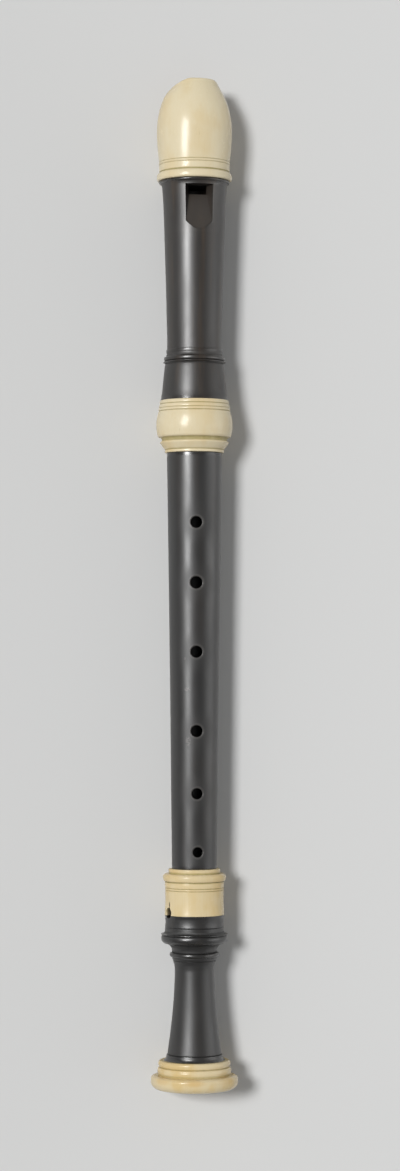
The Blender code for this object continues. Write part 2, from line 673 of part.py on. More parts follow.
def build_middle(wood, thread, parts, cutters, stand):
    """Middle joint with its finger holes, its thumb hole and the lapping on both tenons."""
    body = turn_piece("middle_body", middle_body_outline(), wood, parts, stand, FOOT_MOUTH)
    bottom = FIT_GAP - LOWER_TENON_LENGTH
    top = MIDDLE_LENGTH - FIT_GAP + UPPER_TENON_LENGTH
    for index, (height, radius, turn) in enumerate((*FINGER_HOLES, THUMB_HOLE)):
        bore = straight_taper(height, bottom, top, MIDDLE_BORE_BOTTOM_RADIUS, MIDDLE_BORE_TOP_RADIUS)
        name = f"finger_hole_{index + 1}" if index < len(FINGER_HOLES) else "thumb_hole"
        surface = middle_radius(height)
        cut(body, hole_cutter(name, height, radius, turn, surface, bore, cutters, body))
    settle(body)
    low_end = bottom + TENON_COLLAR + FIT_GAP
    low_start = -TENON_COLLAR
    high_start = MIDDLE_LENGTH + TENON_COLLAR
    high_end = top - TENON_COLLAR - FIT_GAP
    lower = lapping_outline(LOWER_TENON_RADIUS, low_end, low_start, LOWER_LAPPING_RIBS)
    upper = lapping_outline(UPPER_TENON_RADIUS, high_start, high_end, UPPER_LAPPING_RIBS)
    for name, outline in (("lower_tenon_lapping", lower), ("upper_tenon_lapping", upper)):
        settle(turn_piece(name, outline, thread, parts, body, 0.0))


def build_head(wood, ivory, cedar, parts, cutters, stand):
    """Head joint: wooden head, ivory socket ring, ivory beak cap and the cedar block."""
    body = turn_piece("head_body", head_body_outline(), wood, parts, stand, HEAD_MOUTH)
    ring = turn_piece("head_socket_ring", head_socket_ring_outline(), ivory, parts, body, 0.0)
    cap = turn_piece("beak_cap", beak_cap_outline(), ivory, parts, body, 0.0)
    block = make_block(cedar, parts, body)
    windway = windway_cutter(cutters, body)
    for cutter in (*window_cutters(cutters, body), windway):
        cut(body, cutter)
    cut(cap, windway)
    beak = beak_cutter(cutters, body)
    cut(cap, beak)
    cut(block, beak)
    cut(
        block,
        wedge_cutter(
            "windway_floor_cut",
            WINDOW_TOP - CUTTER_REACH,
            HEAD_LENGTH + CUTTER_REACH,
            lambda height: WINDWAY_FLOOR,
            lambda height: 2 * BLOCK_RADIUS,
            lambda level: 2 * BLOCK_RADIUS,
            cutters,
            body,
        ),
    )
    for piece in (body, ring, cap, block):
        settle(piece)


def main():
    """Clears the scene and builds the recorder, lying on its back with its finger holes up."""
    for old in list(bpy.data.objects):
        bpy.data.objects.remove(old, do_unlink=True)
    scene = bpy.context.scene.collection
    parts = bpy.data.collections.new("alto_recorder")
    cutters = bpy.data.collections.new("cutters")
    scene.children.link(parts)
    scene.children.link(cutters)
    stand = bpy.data.objects.new("laid_down", None)
    parts.objects.link(stand)
    stand.rotation_euler = (math.radians(-90), 0.0, 0.0)
    stand.location = (0.0, -BEAK_TIP / 2, AXIS_HEIGHT)

    wood = make_material("ebony", (0.030, 0.026, 0.024), 0.32)
    ivory = make_material("ivory", (0.74, 0.66, 0.47), 0.28)
    cedar = make_material("cedar", (0.44, 0.25, 0.13), 0.65)
    thread = make_material("thread", (0.58, 0.44, 0.24), 0.80)

    build_foot(wood, ivory, parts, cutters, stand)
    build_middle(wood, thread, parts, cutters, stand)
    build_head(wood, ivory, cedar, parts, cutters, stand)


main()
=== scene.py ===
"""Alto recorder: polished dark wood with ivory mounts, lying finger holes up on a pale table.

Heights run along the bore from the foot's end face towards the beak. Each piece is turned standing,
with its front towards -Y, and laid down with its bore along +Y and its front up. Sizes in metres.
"""

import json
import math
from types import SimpleNamespace

import bmesh
import bpy
import numpy as np
from bpy.props import FloatProperty, FloatVectorProperty, IntProperty, PointerProperty
from mathutils import Matrix, Vector, noise

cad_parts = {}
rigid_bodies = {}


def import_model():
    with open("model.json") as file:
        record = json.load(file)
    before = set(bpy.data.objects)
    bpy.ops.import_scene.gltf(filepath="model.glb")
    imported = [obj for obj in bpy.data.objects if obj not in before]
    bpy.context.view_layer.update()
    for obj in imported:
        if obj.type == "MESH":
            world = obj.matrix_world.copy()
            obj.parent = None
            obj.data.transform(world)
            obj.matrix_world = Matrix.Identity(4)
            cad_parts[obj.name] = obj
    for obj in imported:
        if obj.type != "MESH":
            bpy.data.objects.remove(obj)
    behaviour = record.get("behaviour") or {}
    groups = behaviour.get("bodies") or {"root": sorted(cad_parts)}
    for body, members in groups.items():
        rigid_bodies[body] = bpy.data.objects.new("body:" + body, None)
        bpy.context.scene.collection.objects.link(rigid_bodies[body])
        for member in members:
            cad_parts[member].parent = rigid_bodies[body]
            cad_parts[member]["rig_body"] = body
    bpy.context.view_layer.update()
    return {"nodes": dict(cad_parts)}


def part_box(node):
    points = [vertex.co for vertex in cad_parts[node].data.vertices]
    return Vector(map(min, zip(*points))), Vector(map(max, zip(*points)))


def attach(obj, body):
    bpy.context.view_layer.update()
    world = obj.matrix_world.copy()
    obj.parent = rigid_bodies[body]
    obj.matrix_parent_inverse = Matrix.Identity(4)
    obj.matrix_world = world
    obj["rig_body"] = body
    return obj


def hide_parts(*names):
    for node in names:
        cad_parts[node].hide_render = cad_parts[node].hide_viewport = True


bl_info = {
    "name": "Alto Recorder",
    "version": (1, 0, 0),
    "blender": (4, 5, 0),
    "location": "View3D > Sidebar > Recorder",
    "description": "Turns, bores and finishes a three-joint alto recorder over its packed frame",
    "category": "Object",
}

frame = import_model()

# The recorder's own frame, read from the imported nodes
FOOT_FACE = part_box("foot_end_ring")[0].y
BORE_AXIS = (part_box("foot_end_ring")[0].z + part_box("foot_end_ring")[1].z) / 2


def height_of(node, end):
    """Height of a node's lower (0) or upper (1) end above the foot's end face."""
    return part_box(node)[end].y - FOOT_FACE


END_RING_TOP = height_of("foot_end_ring", 1)
FOOT_RING_BASE = height_of("foot_socket_ring", 0)
FOOT_MOUTH = height_of("foot_socket_ring", 1)
LOWER_TENON_END = height_of("middle_body", 0)
HEAD_MOUTH = height_of("head_socket_ring", 0)
UPPER_TENON_END = height_of("middle_body", 1)
HEAD_RING_TOP = height_of("head_socket_ring", 1)
WINDOW_TOP = height_of("block", 0)
CAP_BASE = height_of("beak_cap", 0)
CAP_SPIGOT_END = height_of("head_body", 1)
BEAK_TIP = height_of("beak_cap", 1)
BLOCK_END = height_of("block", 1)
LAID_DOWN = Matrix.Translation((0.0, FOOT_FACE, BORE_AXIS)) @ Matrix.Rotation(-math.pi / 2, 4, "X")

# Joints between pieces: glued mounts, and parts that come apart
GLUE_GAP = 0.00004
RUNNING_GAP = 0.00012

# Bore and tenons
HEAD_BORE_RADIUS = 0.0087
MIDDLE_BORE_TOP_RADIUS = 0.0086
MIDDLE_BORE_BOTTOM_RADIUS = 0.0067
FOOT_BORE_TOP_RADIUS = 0.0065
FOOT_BORE_BOTTOM_RADIUS = 0.0058
UPPER_TENON_RADIUS = 0.0116
LOWER_TENON_RADIUS = 0.0094
TENON_COLLAR = 0.0035
LAPPING_DEPTH = 0.0012
THREAD_DIAMETER = 0.0005
THREAD_POINTS = 40
CORE_INSET = THREAD_DIAMETER * 0.7
HEAD_LINING_RADIUS = 0.0140
FOOT_LINING_RADIUS = 0.0123
RING_LIP = 0.0016
FOOT_SPIGOT_RADIUS = 0.0105
END_FACE_THICKNESS = 0.0025
CAP_SPIGOT_RADIUS = 0.0135

# Fine turning
GROOVE_WIDTH = 0.0005
GROOVE_DEPTH = 0.0004
FINE_SWELL = 0.0001
CORNER_ROUNDING = 0.00016
CORNER_SHARE = 0.4
CORNER_ANGLE = math.radians(14)
RING_SPACING = 0.0022
SHARP_ANGLE = math.radians(38)

# Middle joint between the mouths, with the mean radius that places its marks
MIDDLE = SimpleNamespace(hollow=0.0006, steps=60, mean_radius=0.0125)

# Foot's wood, downwards from the ivory sleeve
FOOT_WOOD = SimpleNamespace(
    neck_radius=0.0149,
    neck_hollow=0.0003,
    neck_length=0.0059,
    neck_end_radius=0.0148,
    neck_groove=0.0003,
    collar_length=0.0015,
    fillet_radius=0.0167,
    fillet_length=0.0016,
    fillet_edge=0.0005,
    bead_seat_radius=0.0158,
    bead_radius=0.0167,
    bead_length=0.0038,
    bead_end_radius=0.0154,
    cup_edge=0.0003,
    cup_drop=0.0004,
    cup_radius=0.0142,
    cup_length=0.0041,
    throat_radius=0.0112,
    throat_step=0.0002,
    throat_step_radius=0.0110,
    small_ring_seat_radius=0.0116,
    small_ring_radius=0.0124,
    small_ring_length=0.0024,
    small_ring_end_radius=0.0112,
    fillet_under_ring=0.0014,
    shaft_top_radius=0.0108,
    shaft_groove=0.0003,
    shaft_ease=0.0003,
    shaft_ease_length=0.0018,
    shaft_ease_power=0.8,
    shaft_lead=0.0020,
    flare_radius=0.0136,
    flare_power=1.7,
    flange_height=0.0032,
    flange_groove=0.0004,
    flange_radius=0.0140,
    flange_length=0.0028,
    flange_end_radius=0.0155,
)

# Ivory end of the foot, downwards
END_RING = SimpleNamespace(
    box_inset=0.0001,
    top_radius=0.0168,
    upper_bead_radius=0.0181,
    upper_bead_rise=0.0015,
    upper_bead_length=0.0014,
    upper_bead_end_radius=0.0178,
    groove=0.0006,
    lower_bead_radius=0.0184,
    lower_bead_rise=0.0012,
    lower_bead_length=0.0012,
    lower_bead_fall=0.0014,
    lower_bead_end_radius=0.0180,
    step=0.0002,
    shelf_radius=0.0195,
    shoulder=0.0018,
    round_length=0.0014,
    face_radius=0.0176,
    bore_chamfer=0.0006,
)

# Ivory sleeve round the foot's socket, downwards
FOOT_RING = SimpleNamespace(
    mouth_radius=0.0125,
    rim_radius=0.0130,
    rim_rounding=0.0006,
    rim_length=0.0018,
    rim_end_radius=0.0129,
    bead_seat_radius=0.0141,
    bead_radius=0.0158,
    bead_rise=0.0017,
    bead_fall=0.0021,
    bead_end_radius=0.0150,
    step=0.0001,
    step_radius=0.0143,
    step_length=0.0002,
    band_radius=0.0147,
    band_length=0.0028,
    fine_band_length=0.0007,
    sleeve_hollow=0.0002,
    sleeve_end_radius=0.0150,
)

# Ivory bulge round the head's socket, downwards; bands as length and radius
HEAD_RING = SimpleNamespace(
    top_radius=0.0171,
    bands=((0.0016, 0.0174), (0.0015, 0.0178), (0.0010, 0.0180)),
    band_swell=0.00012,
    band_groove=0.00032,
    bulge_seat_radius=0.0179,
    bulge_top_inset=0.0009,
    bulge_rise=0.0006,
    bulge_swell=0.0007,
    bulge_length=0.0106,
    bulge_foot_inset=0.0005,
    bulge_fall=0.0017,
    bulge_end_radius=0.0174,
    cove_edge=0.0002,
    cove_radius=0.0170,
    cove_hollow=0.0006,
    cove_length=0.0019,
    cove_end_radius=0.0168,
    edge_radius=0.0172,
    edge_rounding=0.0007,
    slope_length=0.0036,
    slope_power=1.1,
    slope_end_radius=0.0145,
    rim_radius=0.0149,
    rim_edge=0.0003,
    rim_end_radius=0.0146,
)

# Head's wood, downwards from the beak
HEAD_WOOD = SimpleNamespace(
    ridge_seat_radius=0.0171,
    ridge_radius=0.0177,
    ridge_length=0.0013,
    shoulder_fall=0.0032,
    shoulder_length=0.0040,
    shoulder_taper=0.0003,
    waist_power=0.8,
    waist_length=0.0060,
    moulding_height=0.0255,
    fillet_radius=0.0140,
    fillet_length=0.0017,
    cove_radius=0.0139,
    cove_length=0.0020,
    cove_end_radius=0.0147,
    upper_bead_radius=0.0152,
    upper_bead_length=0.0019,
    upper_bead_end_radius=0.0149,
    bead_groove=0.0004,
    lower_bead_radius=0.0157,
    lower_bead_length=0.0008,
    lower_bead_end_radius=0.0150,
    step_length=0.0005,
    step_radius=0.0145,
    edge_length=0.0004,
    edge_radius=0.0147,
    cone_radius=0.0163,
    cone_power=0.8,
    cone_foot_height=0.0036,
    cone_end_radius=0.0170,
)

# Ivory beak, downwards from its tip
BEAK = SimpleNamespace(
    tip_radius=0.0102,
    side_radius=0.0121,
    tip_rounding=0.0016,
    swell_length=0.0234,
    swell_steps=24,
    neck_radius=0.0177,
    neck_power=2.0,
    collar_height=0.0096,
    upper_groove=0.00028,
    fine_band_swell=0.00012,
    fine_band_length=0.0008,
    lower_groove=0.00032,
    bead_radius=0.0177,
    bead_rise=0.0012,
    bead_fall=0.0020,
    bead_end_radius=0.0174,
    rim_groove_depth=0.00015,
    rim_groove_width=0.0005,
    rim_radius=0.0188,
    rim_rise=0.0022,
    rim_length=0.0008,
    rim_end_radius=0.0178,
)

# Unevenness of the hand turning, in waves per metre
BROAD_WAVES = Vector((90, 90, 38))
FINE_WAVES = Vector((420, 420, 260))
FINE_WAVE_SHARE = 0.35
LEAST_WAVY_RADIUS = 0.004

# How far the form around a point is averaged, and the depth that counts as a full cavity
CAVITY_SPAN = 0.0009
CAVITY_SPACING = 0.00005
CAVITY_DEPTH = 0.00032
CAVITY_SKIN = 0.0008

# Windway, window and block
BLOCK_RADIUS = 0.00945
BLOCK_CHAMFER = 0.0004
WINDWAY_WIDTH = 0.0090
WINDWAY_HEIGHT = 0.0012
CUT_UP = 0.0046
LIP_LEVEL = HEAD_BORE_RADIUS + 0.0004
LIP_WIDTH = 0.0092
LIP_UNDERCUT_LENGTH = 0.0100
RAMP_LENGTH = 0.0184
RAMP_RISE = 0.0062
WINDOW_SPLAY = 0.47
LIP_HEIGHT = WINDOW_TOP - CUT_UP
WINDWAY_FLOOR = math.sqrt(BLOCK_RADIUS**2 - (WINDWAY_WIDTH / 2) ** 2)
CUTTER_REACH = 0.0020
CUTTER_LAP = 0.0001
RIDGE_RADIUS = 0.0176
THROAT_LEVEL = 0.0040
PLUG_FACETS = 96

# Beak
BEAK_THICKNESS_BEHIND = 0.0025
BEAK_CUT_LENGTH = 0.0350
BEAK_CUT_RADIUS = 0.0450

# Wear of the beak's tip by side (-1 is the left): start, width, power, depth
TIP_WEAR_REACH = 0.0120
TIP_WEAR_LIMIT = 0.0036
TIP_WEAR = (
    (-1, 0.0035, 0.0081, 1.6, 0.0035),
    (1, 0.0080, 0.0033, 1.3, 0.0012),
)

# How far the head has been turned to the right on its tenon
HEAD_TURN = math.radians(4.0)

# Finger holes: height, radius, and degrees to the right of the line
FINGER_HOLES = (
    (0.2836, 0.00285, -1.4),
    (0.2536, 0.00300, -1.4),
    (0.2191, 0.00290, -0.7),
    (0.1796, 0.00290, 0.0),
    (0.1484, 0.00270, 1.0),
    (0.1192, 0.00250, 2.8),
)
THUMB_HOLE = (0.2924, 0.00310, 180.0)
LITTLE_FINGER_HOLE = (0.0887, 0.00265, -68.0)
LITTLE_FINGER_SURFACE = 0.0150
HOLE_UNDERCUT = 0.0006
HOLE_SIDES = 56
HOLE_START_SHARE = 0.45
RIM_WIDTH = 0.00060
RIM_DEPTH = 0.00040
RIM_STEPS = 4

# Crack in the foot's ivory that runs up from the little finger's hole
CRACK_LENGTH = 0.0032
CRACK_WIDTH = 0.0012
CRACK_DEPTH = 0.0012
CRACK_POINT = 0.0001
CRACK_RADIUS = 0.0149
CRACK_SIDEWAYS = 4.5
CRACK_LEAN = math.radians(6.0)

# Painted shadow line of the crack, up from the hole: its middle above the hole, degrees sideways, length,
# width
CRACK_SHADOW_LINE = (CRACK_LENGTH * 0.4, 4.0, CRACK_LENGTH * 1.6, 0.0010)

# Painted shade in the little finger's hole: radius that places it, where it starts, where it is full
HOLE_SHADE = SimpleNamespace(radius=0.0140, top=0.0146, depth=0.0012)

# Longer than any distance between spots
FAR = 100.0

# Knocks in the middle joint: height, degrees to the right, length, width
KNOCKS = (
    (0.2157, -29.0, 0.0018, 0.0012),
    (0.2003, -22.5, 0.0024, 0.0040),
    (0.1745, -21.0, 0.0056, 0.0036),
)

# Stains of the end ring: height, degrees to the right, length, width, strength
STAINED_RADIUS = 0.0215
END_RING_STAINS = (
    (0.0060, -54.0, 0.0050, 0.0090, 0.45),
    (0.0055, -5.0, 0.0036, 0.0110, 0.60),
    (0.0068, 45.0, 0.0060, 0.0120, 0.35),
)

# Ivories: yellowing, clouding, soiling of the grooves, stains
IVORIES = {
    "beak_ivory": (0.06, 0.40, 0.85, ()),
    "ring_ivory": (0.12, 0.55, 0.85, ()),
    "foot_ivory": (0.50, 0.60, 0.85, ()),
    "end_ivory": (0.42, 1.00, 0.50, END_RING_STAINS),
}

# Carved wood of the window: where it ends at the outside, at the lip and at the ramp's upper end,
# the painted shade on the left wall, and the painted highlight along the right one
WINDOW_LOOK = SimpleNamespace(
    outside_margin=0.0001,
    outside_fade=0.0004,
    lip_margin=0.0004,
    lip_fade=0.0003,
    ramp_fade=0.001,
    left_shade_fade=(0.00015, 0.00035),
    edge_aside=0.0002,
    edge_fade=(0.0002, 0.0006),
    edge_radii=(0.0150, 0.0154),
    edge_start_share=0.82,
    edge_start_fade=0.0008,
    edge_end_fade=0.0003,
)

# Painted shade on the block near the window: where it starts to fade and where it is gone, as distances from
# the window
WINDOW_SHADE_START = 0.006
WINDOW_SHADE_END = 0.018

# Near black of the painted shade on the window's left wall, of pores, and of the hollows
LEFT_WALL_SHADE = (0.004, 0.004, 0.003)
PORE = (0.004, 0.004, 0.004)
HOLLOW_DARK = (0.006, 0.006, 0.005)

# Table top; its colour painted paler towards the right and the foot, as painted light
TABLE_SIZE = 4.0
TABLE_DROP = 0.00005
TABLE_PAINTED_LIGHT = 1.13
TABLE_ROUGHNESS = 0.9
TABLE_SPECULAR = 0.1

# Lamps: size, degrees to the left of straight above, place towards the beak, distance from the
# bore's axis, and the kind of ray that doesn't see the lamp
LAMPS = {
    "key": ((0.90, 0.90), 24.7, 0.68, 5.0, "glossy"),
    "gloss": ((0.80, 0.50), 35.0, 0.35, 1.6, "diffuse"),
    "fill": ((0.30, 2.20), -84.0, 0.0, 1.3, "diffuse"),
}

# Room's light: where it starts to grow towards the right, how much more it is there, its tint
ROOM_START = 0.60
ROOM_RISE = 2.2
ROOM_TINT = (1.0, 1.0, 0.995)

# Camera: place along the bore and beside it, and lens shift
CAMERA_ALONG = -0.0350
CAMERA_ASIDE = 0.00280
CAMERA_SHIFT = 0.0593
CAMERA_SENSOR = 36.0


def length_setting(name, description, default):
    """Property for a length in metres."""
    return FloatProperty(name=name, description=description, default=default, unit="LENGTH")


def colour_setting(name, description, default):
    """Property for a colour."""
    return FloatVectorProperty(name=name, description=description, default=default, subtype="COLOR")


def share_setting(name, description, default):
    """Property for a share from 0 to 1."""
    return FloatProperty(name=name, description=description, default=default, min=0, max=1, subtype="FACTOR")


def power_setting(name, description, default):
    """Property for a lamp's power in watts."""
    return FloatProperty(name=name, description=description, default=default, unit="POWER")


class RecorderTurning(bpy.types.PropertyGroup):
    """Radii of the main turned forms, and how finely they are turned."""

    facets: IntProperty(name="Facets", description="Flats round a turned piece", default=128, min=32)
    middle_lower: length_setting("Middle, lower", "Radius of the middle joint at the foot", 0.0113)
    middle_upper: length_setting("Middle, upper", "Radius of the middle joint at the head", 0.0138)
    waist: length_setting("Head waist", "Radius of the head above its moulding", 0.0137)
    shoulder: length_setting("Head shoulder", "Radius of the head at the window", 0.0161)
    head_ring: length_setting("Head ring", "Widest radius of the head's socket ring", 0.0191)
    shaft: length_setting("Foot shaft", "Radius of the foot at its narrowest", 0.0098)
    end_ring: length_setting("End ring", "Widest radius of the foot's end", BORE_AXIS - END_RING.box_inset)
    beak: length_setting("Beak", "Widest radius of the beak", 0.0188)


class RecorderFinish(bpy.types.PropertyGroup):
    """Colours and polish of the wood, the ivory, the block and the lapping."""

    wood: colour_setting("Wood", "Dark heartwood", (0.0066, 0.0062, 0.0060))
    wood_brown: colour_setting("Brown streaks", "Browner streaks in the wood", (0.048, 0.028, 0.013))
    # Also the colour of the painted highlight along the window's right edge
    wood_worn_and_highlight: colour_setting("Worn wood", "Dry wood on edges and hole rims", (0.105, 0.098, 0.090))
    wood_carved: colour_setting("Carved wood", "Unpolished wood of the window", (0.041, 0.032, 0.025))
    wood_roughness: share_setting("Wood roughness", "Polish of the wood", 0.41)
    ivory: colour_setting("Ivory", "Cream of the mounts", (0.76, 0.67, 0.47))
    ivory_yellow: colour_setting("Yellowed ivory", "Older, yellower ivory", (0.70, 0.53, 0.26))
    ivory_dirt: colour_setting("Dirt", "Dirt in the grooves", (0.32, 0.27, 0.095))
    ivory_stain: colour_setting("Stains", "Orange stains of the foot's end", (0.66, 0.44, 0.17))
    # Painted shade of the crack's line and of the inside of the little finger's hole
    ivory_crack_and_hole_shade: colour_setting("Crack", "Grime in the crack and in its hole", (0.030, 0.020, 0.010))
    ivory_roughness: share_setting("Ivory roughness", "Polish of the ivory", 0.25)
    cedar: colour_setting("Cedar", "Block, between its rings", (0.40, 0.22, 0.11))
    cedar_dark: colour_setting("Cedar rings", "Late wood of the block", (0.19, 0.085, 0.042))
    # Painted shade: near black on the block's end at the window
    cedar_shaded: colour_setting("Smoked cedar", "End of the block at the window", (0.006, 0.007, 0.005))
    thread: colour_setting("Thread", "Waxed lapping", (0.58, 0.44, 0.24))
    thread_soiled: colour_setting("Soiled thread", "Lapping where it is soiled", (0.30, 0.19, 0.085))
    # Painted shade between the lapping's strands
    thread_strand_shade: colour_setting("Twist", "Lapping between its strands", (0.20, 0.13, 0.06))


class RecorderStudio(bpy.types.PropertyGroup):
    """Table, lights and camera."""

    table: colour_setting("Table", "Colour of the table top", (0.640, 0.642, 0.638))
    key_power: power_setting("Key", "Power of the main lamp", 185.0)
    gloss_power: power_setting("Gloss", "Power of the lamp for gloss", 23.5)
    fill_power: power_setting("Fill", "Power of the wide low lamp", 3.0)
    ambient: FloatProperty(name="Ambient", description="Strength of the room's light", default=0.27)
    camera_distance: length_setting("Camera distance", "From the bore's axis", 1.5)
    camera_roll: FloatProperty(
        name="Camera roll",
        description="How far the camera stands round to the left of straight above",
        subtype="ANGLE",
        default=math.radians(6.0),
    )
    lens: FloatProperty(name="Lens", description="Focal length in millimetres", default=91.97)


class Outline:
    """A turned profile as (radius, height) points, drawn down the outside and back up the bore.

    Every drawing method but to() and down_to() works downwards by a length from the last point.
    """

    def __init__(self, radius, height):
        self.points = [(radius, height)]
        self.outside = 0

    def to(self, radius, height):
        """Straight to the point."""
        self.points.append((radius, height))
        return self

    def down(self, length, radius=None):
        """Straight down, to another radius if one is given."""
        last_radius, last_height = self.points[-1]
        return self.to(last_radius if radius is None else radius, last_height - length)

    def down_to(self, height, radius=None):
        """Straight down to a height."""
        return self.down(self.above(height), radius)

    def above(self, height):
        """How far the last point stands above a height."""
        return self.points[-1][1] - height

    def across(self, radius):
        """Straight in or out at one height."""
        return self.down(0.0, radius)

    def sideways(self, radius, length, steps=8):
        """Quarter ellipse that leaves across the axis and arrives along it."""
        start_radius, start_height = self.points[-1]
        for step in range(1, steps + 1):
            turn = math.pi / 2 * step / steps
            self.to(
                start_radius + (radius - start_radius) * math.sin(turn),
                start_height - length * (1 - math.cos(turn)),
            )
        return self

    def upright(self, radius, length, steps=8):
        """Quarter ellipse that leaves along the axis and arrives across it."""
        start_radius, start_height = self.points[-1]
        for step in range(1, steps + 1):
            turn = math.pi / 2 * step / steps
            self.to(
                start_radius + (radius - start_radius) * (1 - math.cos(turn)),
                start_height - length * math.sin(turn),
            )
        return self

    def bead(self, crest, length, radius=None):
        """Half-round ring out to a crest and back, to another radius if one is given."""
        root = self.points[-1][0] if radius is None else radius
        return self.sideways(crest, length / 2).upright(root, length / 2)

    def swell(self, bulge, length, radius=None, steps=10):
        """Shallow arc that stands out from a straight line by the bulge, or is hollow below 0."""
        start_radius, start_height = self.points[-1]
        end_radius = start_radius if radius is None else radius
        for step in range(1, steps + 1):
            share = step / steps
            even = start_radius + (end_radius - start_radius) * share
            self.to(even + 4 * bulge * share * (1 - share), start_height - length * share)
        return self

    def groove(self, depth=GROOVE_DEPTH, width=GROOVE_WIDTH):
        """Fine V-shaped groove."""
        radius = self.points[-1][0]
        return self.down(width / 2, radius - depth).down(width / 2, radius)

    def flare(self, radius, length, power, steps=16):
        """Curve whose change of radius grows as a power of the distance travelled."""
        start_radius, start_height = self.points[-1]
        for step in range(1, steps + 1):
            share = step / steps
            self.to(start_radius + (radius - start_radius) * share**power, start_height - length * share)
        return self

    def bore(self):
        """Marks where the outside ends and the inside begins."""
        self.outside = len(self.points)
        return self

    def softened(self):
        """The closed profile with its corners rounded, and points along its long stretches."""
        count = len(self.points)
        rounded = []
        for index, point in enumerate(self.points):
            here = Vector(point)
            before = Vector(self.points[index - 1]) - here
            after = Vector(self.points[(index + 1) % count]) - here
            if math.pi - before.angle(after) < CORNER_ANGLE:
                rounded.append(here)
                continue
            reach = min(CORNER_ROUNDING, before.length * CORNER_SHARE, after.length * CORNER_SHARE)
            start = here + before.normalized() * reach
            end = here + after.normalized() * reach
            rounded += [start, (start + end) / 4 + here / 2, end]
        spaced = []
        for index, here in enumerate(rounded):
            following = rounded[(index + 1) % len(rounded)]
            pieces = max(1, math.ceil((following - here).length / RING_SPACING))
            spaced += [here.lerp(following, piece / pieces) for piece in range(pieces)]
        return spaced


class Socket:
    """A shader socket whose operators add the Math nodes of an expression."""

    def __init__(self, shop, output):
        self.shop = shop
        self.output = output

    def math(self, operation, *values, clamp=False):
        """Math node on this socket and the values after it."""
        inputs = {index: value for index, value in enumerate((self, *values))}
        return self.shop.node("ShaderNodeMath", {"operation": operation, "use_clamp": clamp}, inputs)

    def __add__(self, other):
        return self.math("ADD", other)

    def __sub__(self, other):
        return self.math("SUBTRACT", other)

    def __mul__(self, other):
        return self.math("MULTIPLY", other)

    def __truediv__(self, other):
        return self.math("DIVIDE", other)

    def __pow__(self, other):
        return self.math("POWER", other)

    def __rsub__(self, other):
        return self.shop.node("ShaderNodeMath", {"operation": "SUBTRACT"}, {0: other, 1: self})

    __radd__ = __add__
    __rmul__ = __mul__

    def clamped(self):
        """Held between 0 and 1."""
        return self.math("ADD", 0.0, clamp=True)

    def between(self, low, high):
        """0 below low, 1 above high and smooth between them."""
        settings = {"interpolation_type": "SMOOTHSTEP"}
        inputs = {"Value": self, "From Min": low, "From Max": high}
        return self.shop.node("ShaderNodeMapRange", settings, inputs)


class Bench:
    """A node tree and the means to add nodes to it."""

    def __init__(self, tree):
        self.tree = tree

    def node(self, kind, settings, inputs, output=0):
        """Adds a node: settings first, then values or links by input; returns one output."""
        node = self.tree.nodes.new(kind)
        for name, value in settings.items():
            setattr(node, name, value)
        for name, value in inputs.items():
            self.feed(node.inputs[name], value)
        return node if output is None else Socket(self, node.outputs[output])

    def feed(self, socket, value):
        """Links or sets one input."""
        if isinstance(value, Socket):
            self.tree.links.new(value.output, socket)
        elif socket.type == "RGBA":
            socket.default_value = (*value[:3], 1.0)
        else:
            socket.default_value = value


class Shop(Bench):
    """Makes one material: its nodes, and the patterns that several finishes share."""

    def __init__(self, name, roughness):
        self.material = bpy.data.materials.new(name)
        self.material.use_nodes = True
        super().__init__(self.material.node_tree)
        self.shader = self.tree.nodes["Principled BSDF"]
        self.shader.inputs["Metallic"].default_value = 0.0
        self.shader.inputs["Roughness"].default_value = roughness
        self.place = self.node("ShaderNodeTexCoord", {}, {}, "Object")
        parts = self.node("ShaderNodeSeparateXYZ", {}, {0: self.place}, None)
        self.side, self.along, self.up = (Socket(self, parts.outputs[index]) for index in range(3))

    def noise(self, scale, detail, roughness, shift=0.0):
        """Noise from 0 to 1, with a scale in features per metre for each axis."""
        stretched = self.node(
            "ShaderNodeVectorMath",
            {"operation": "MULTIPLY_ADD"},
            {0: self.place, 1: Vector(scale), 2: Vector((shift, shift, shift))},
        )
        inputs = {"Vector": stretched, "Scale": 1.0, "Detail": detail, "Roughness": roughness}
        return self.node("ShaderNodeTexNoise", {}, inputs)

    def mix(self, factor, first, second):
        """Colour between two others."""
        settings = {"data_type": "RGBA", "clamp_factor": True}
        return self.node("ShaderNodeMix", settings, {0: factor, 6: first, 7: second}, 2)

    def attribute(self, name):
        """Value stored on the mesh's points."""
        return self.node("ShaderNodeAttribute", {"attribute_name": name}, {}, "Fac")

    def turn(self):
        """Angle round the bore in radians, 0 at the front."""
        return self.side.math("ARCTAN2", self.up - BORE_AXIS)

    def radius(self):
        """Distance from the bore's axis."""
        up = self.up - BORE_AXIS
        return (self.side * self.side + up * up).math("SQRT")

    def distance(self, height, degrees, radius, length, width):
        """Distance from a place on the surface, in shares of a spot's half length and half width."""
        around = (self.turn() - math.radians(degrees)) * (radius / (width / 2))
        beside = (self.along - (FOOT_FACE + height)) / (length / 2)
        return (around * around + beside * beside).math("SQRT")

    def nearest(self, spots):
        """Distance from the nearest spot of the middle joint: height, degrees, length and width."""
        nearest = FAR
        for height, degrees, length, width in spots:
            distance = self.distance(height, degrees, MIDDLE.mean_radius, length, width)
            nearest = distance.math("MINIMUM", nearest)
        return nearest

    def bump(self, height, distance, strength):
        """Normal raised by a height pattern."""
        inputs = {"Strength": strength, "Distance": distance, "Height": height}
        return self.node("ShaderNodeBump", {}, inputs)

    def finish(self, **inputs):
        """Feeds the shader's sockets, named with _ for a space."""
        for name, value in inputs.items():
            self.feed(self.shader.inputs[name.replace("_", " ")], value)
        return self.material


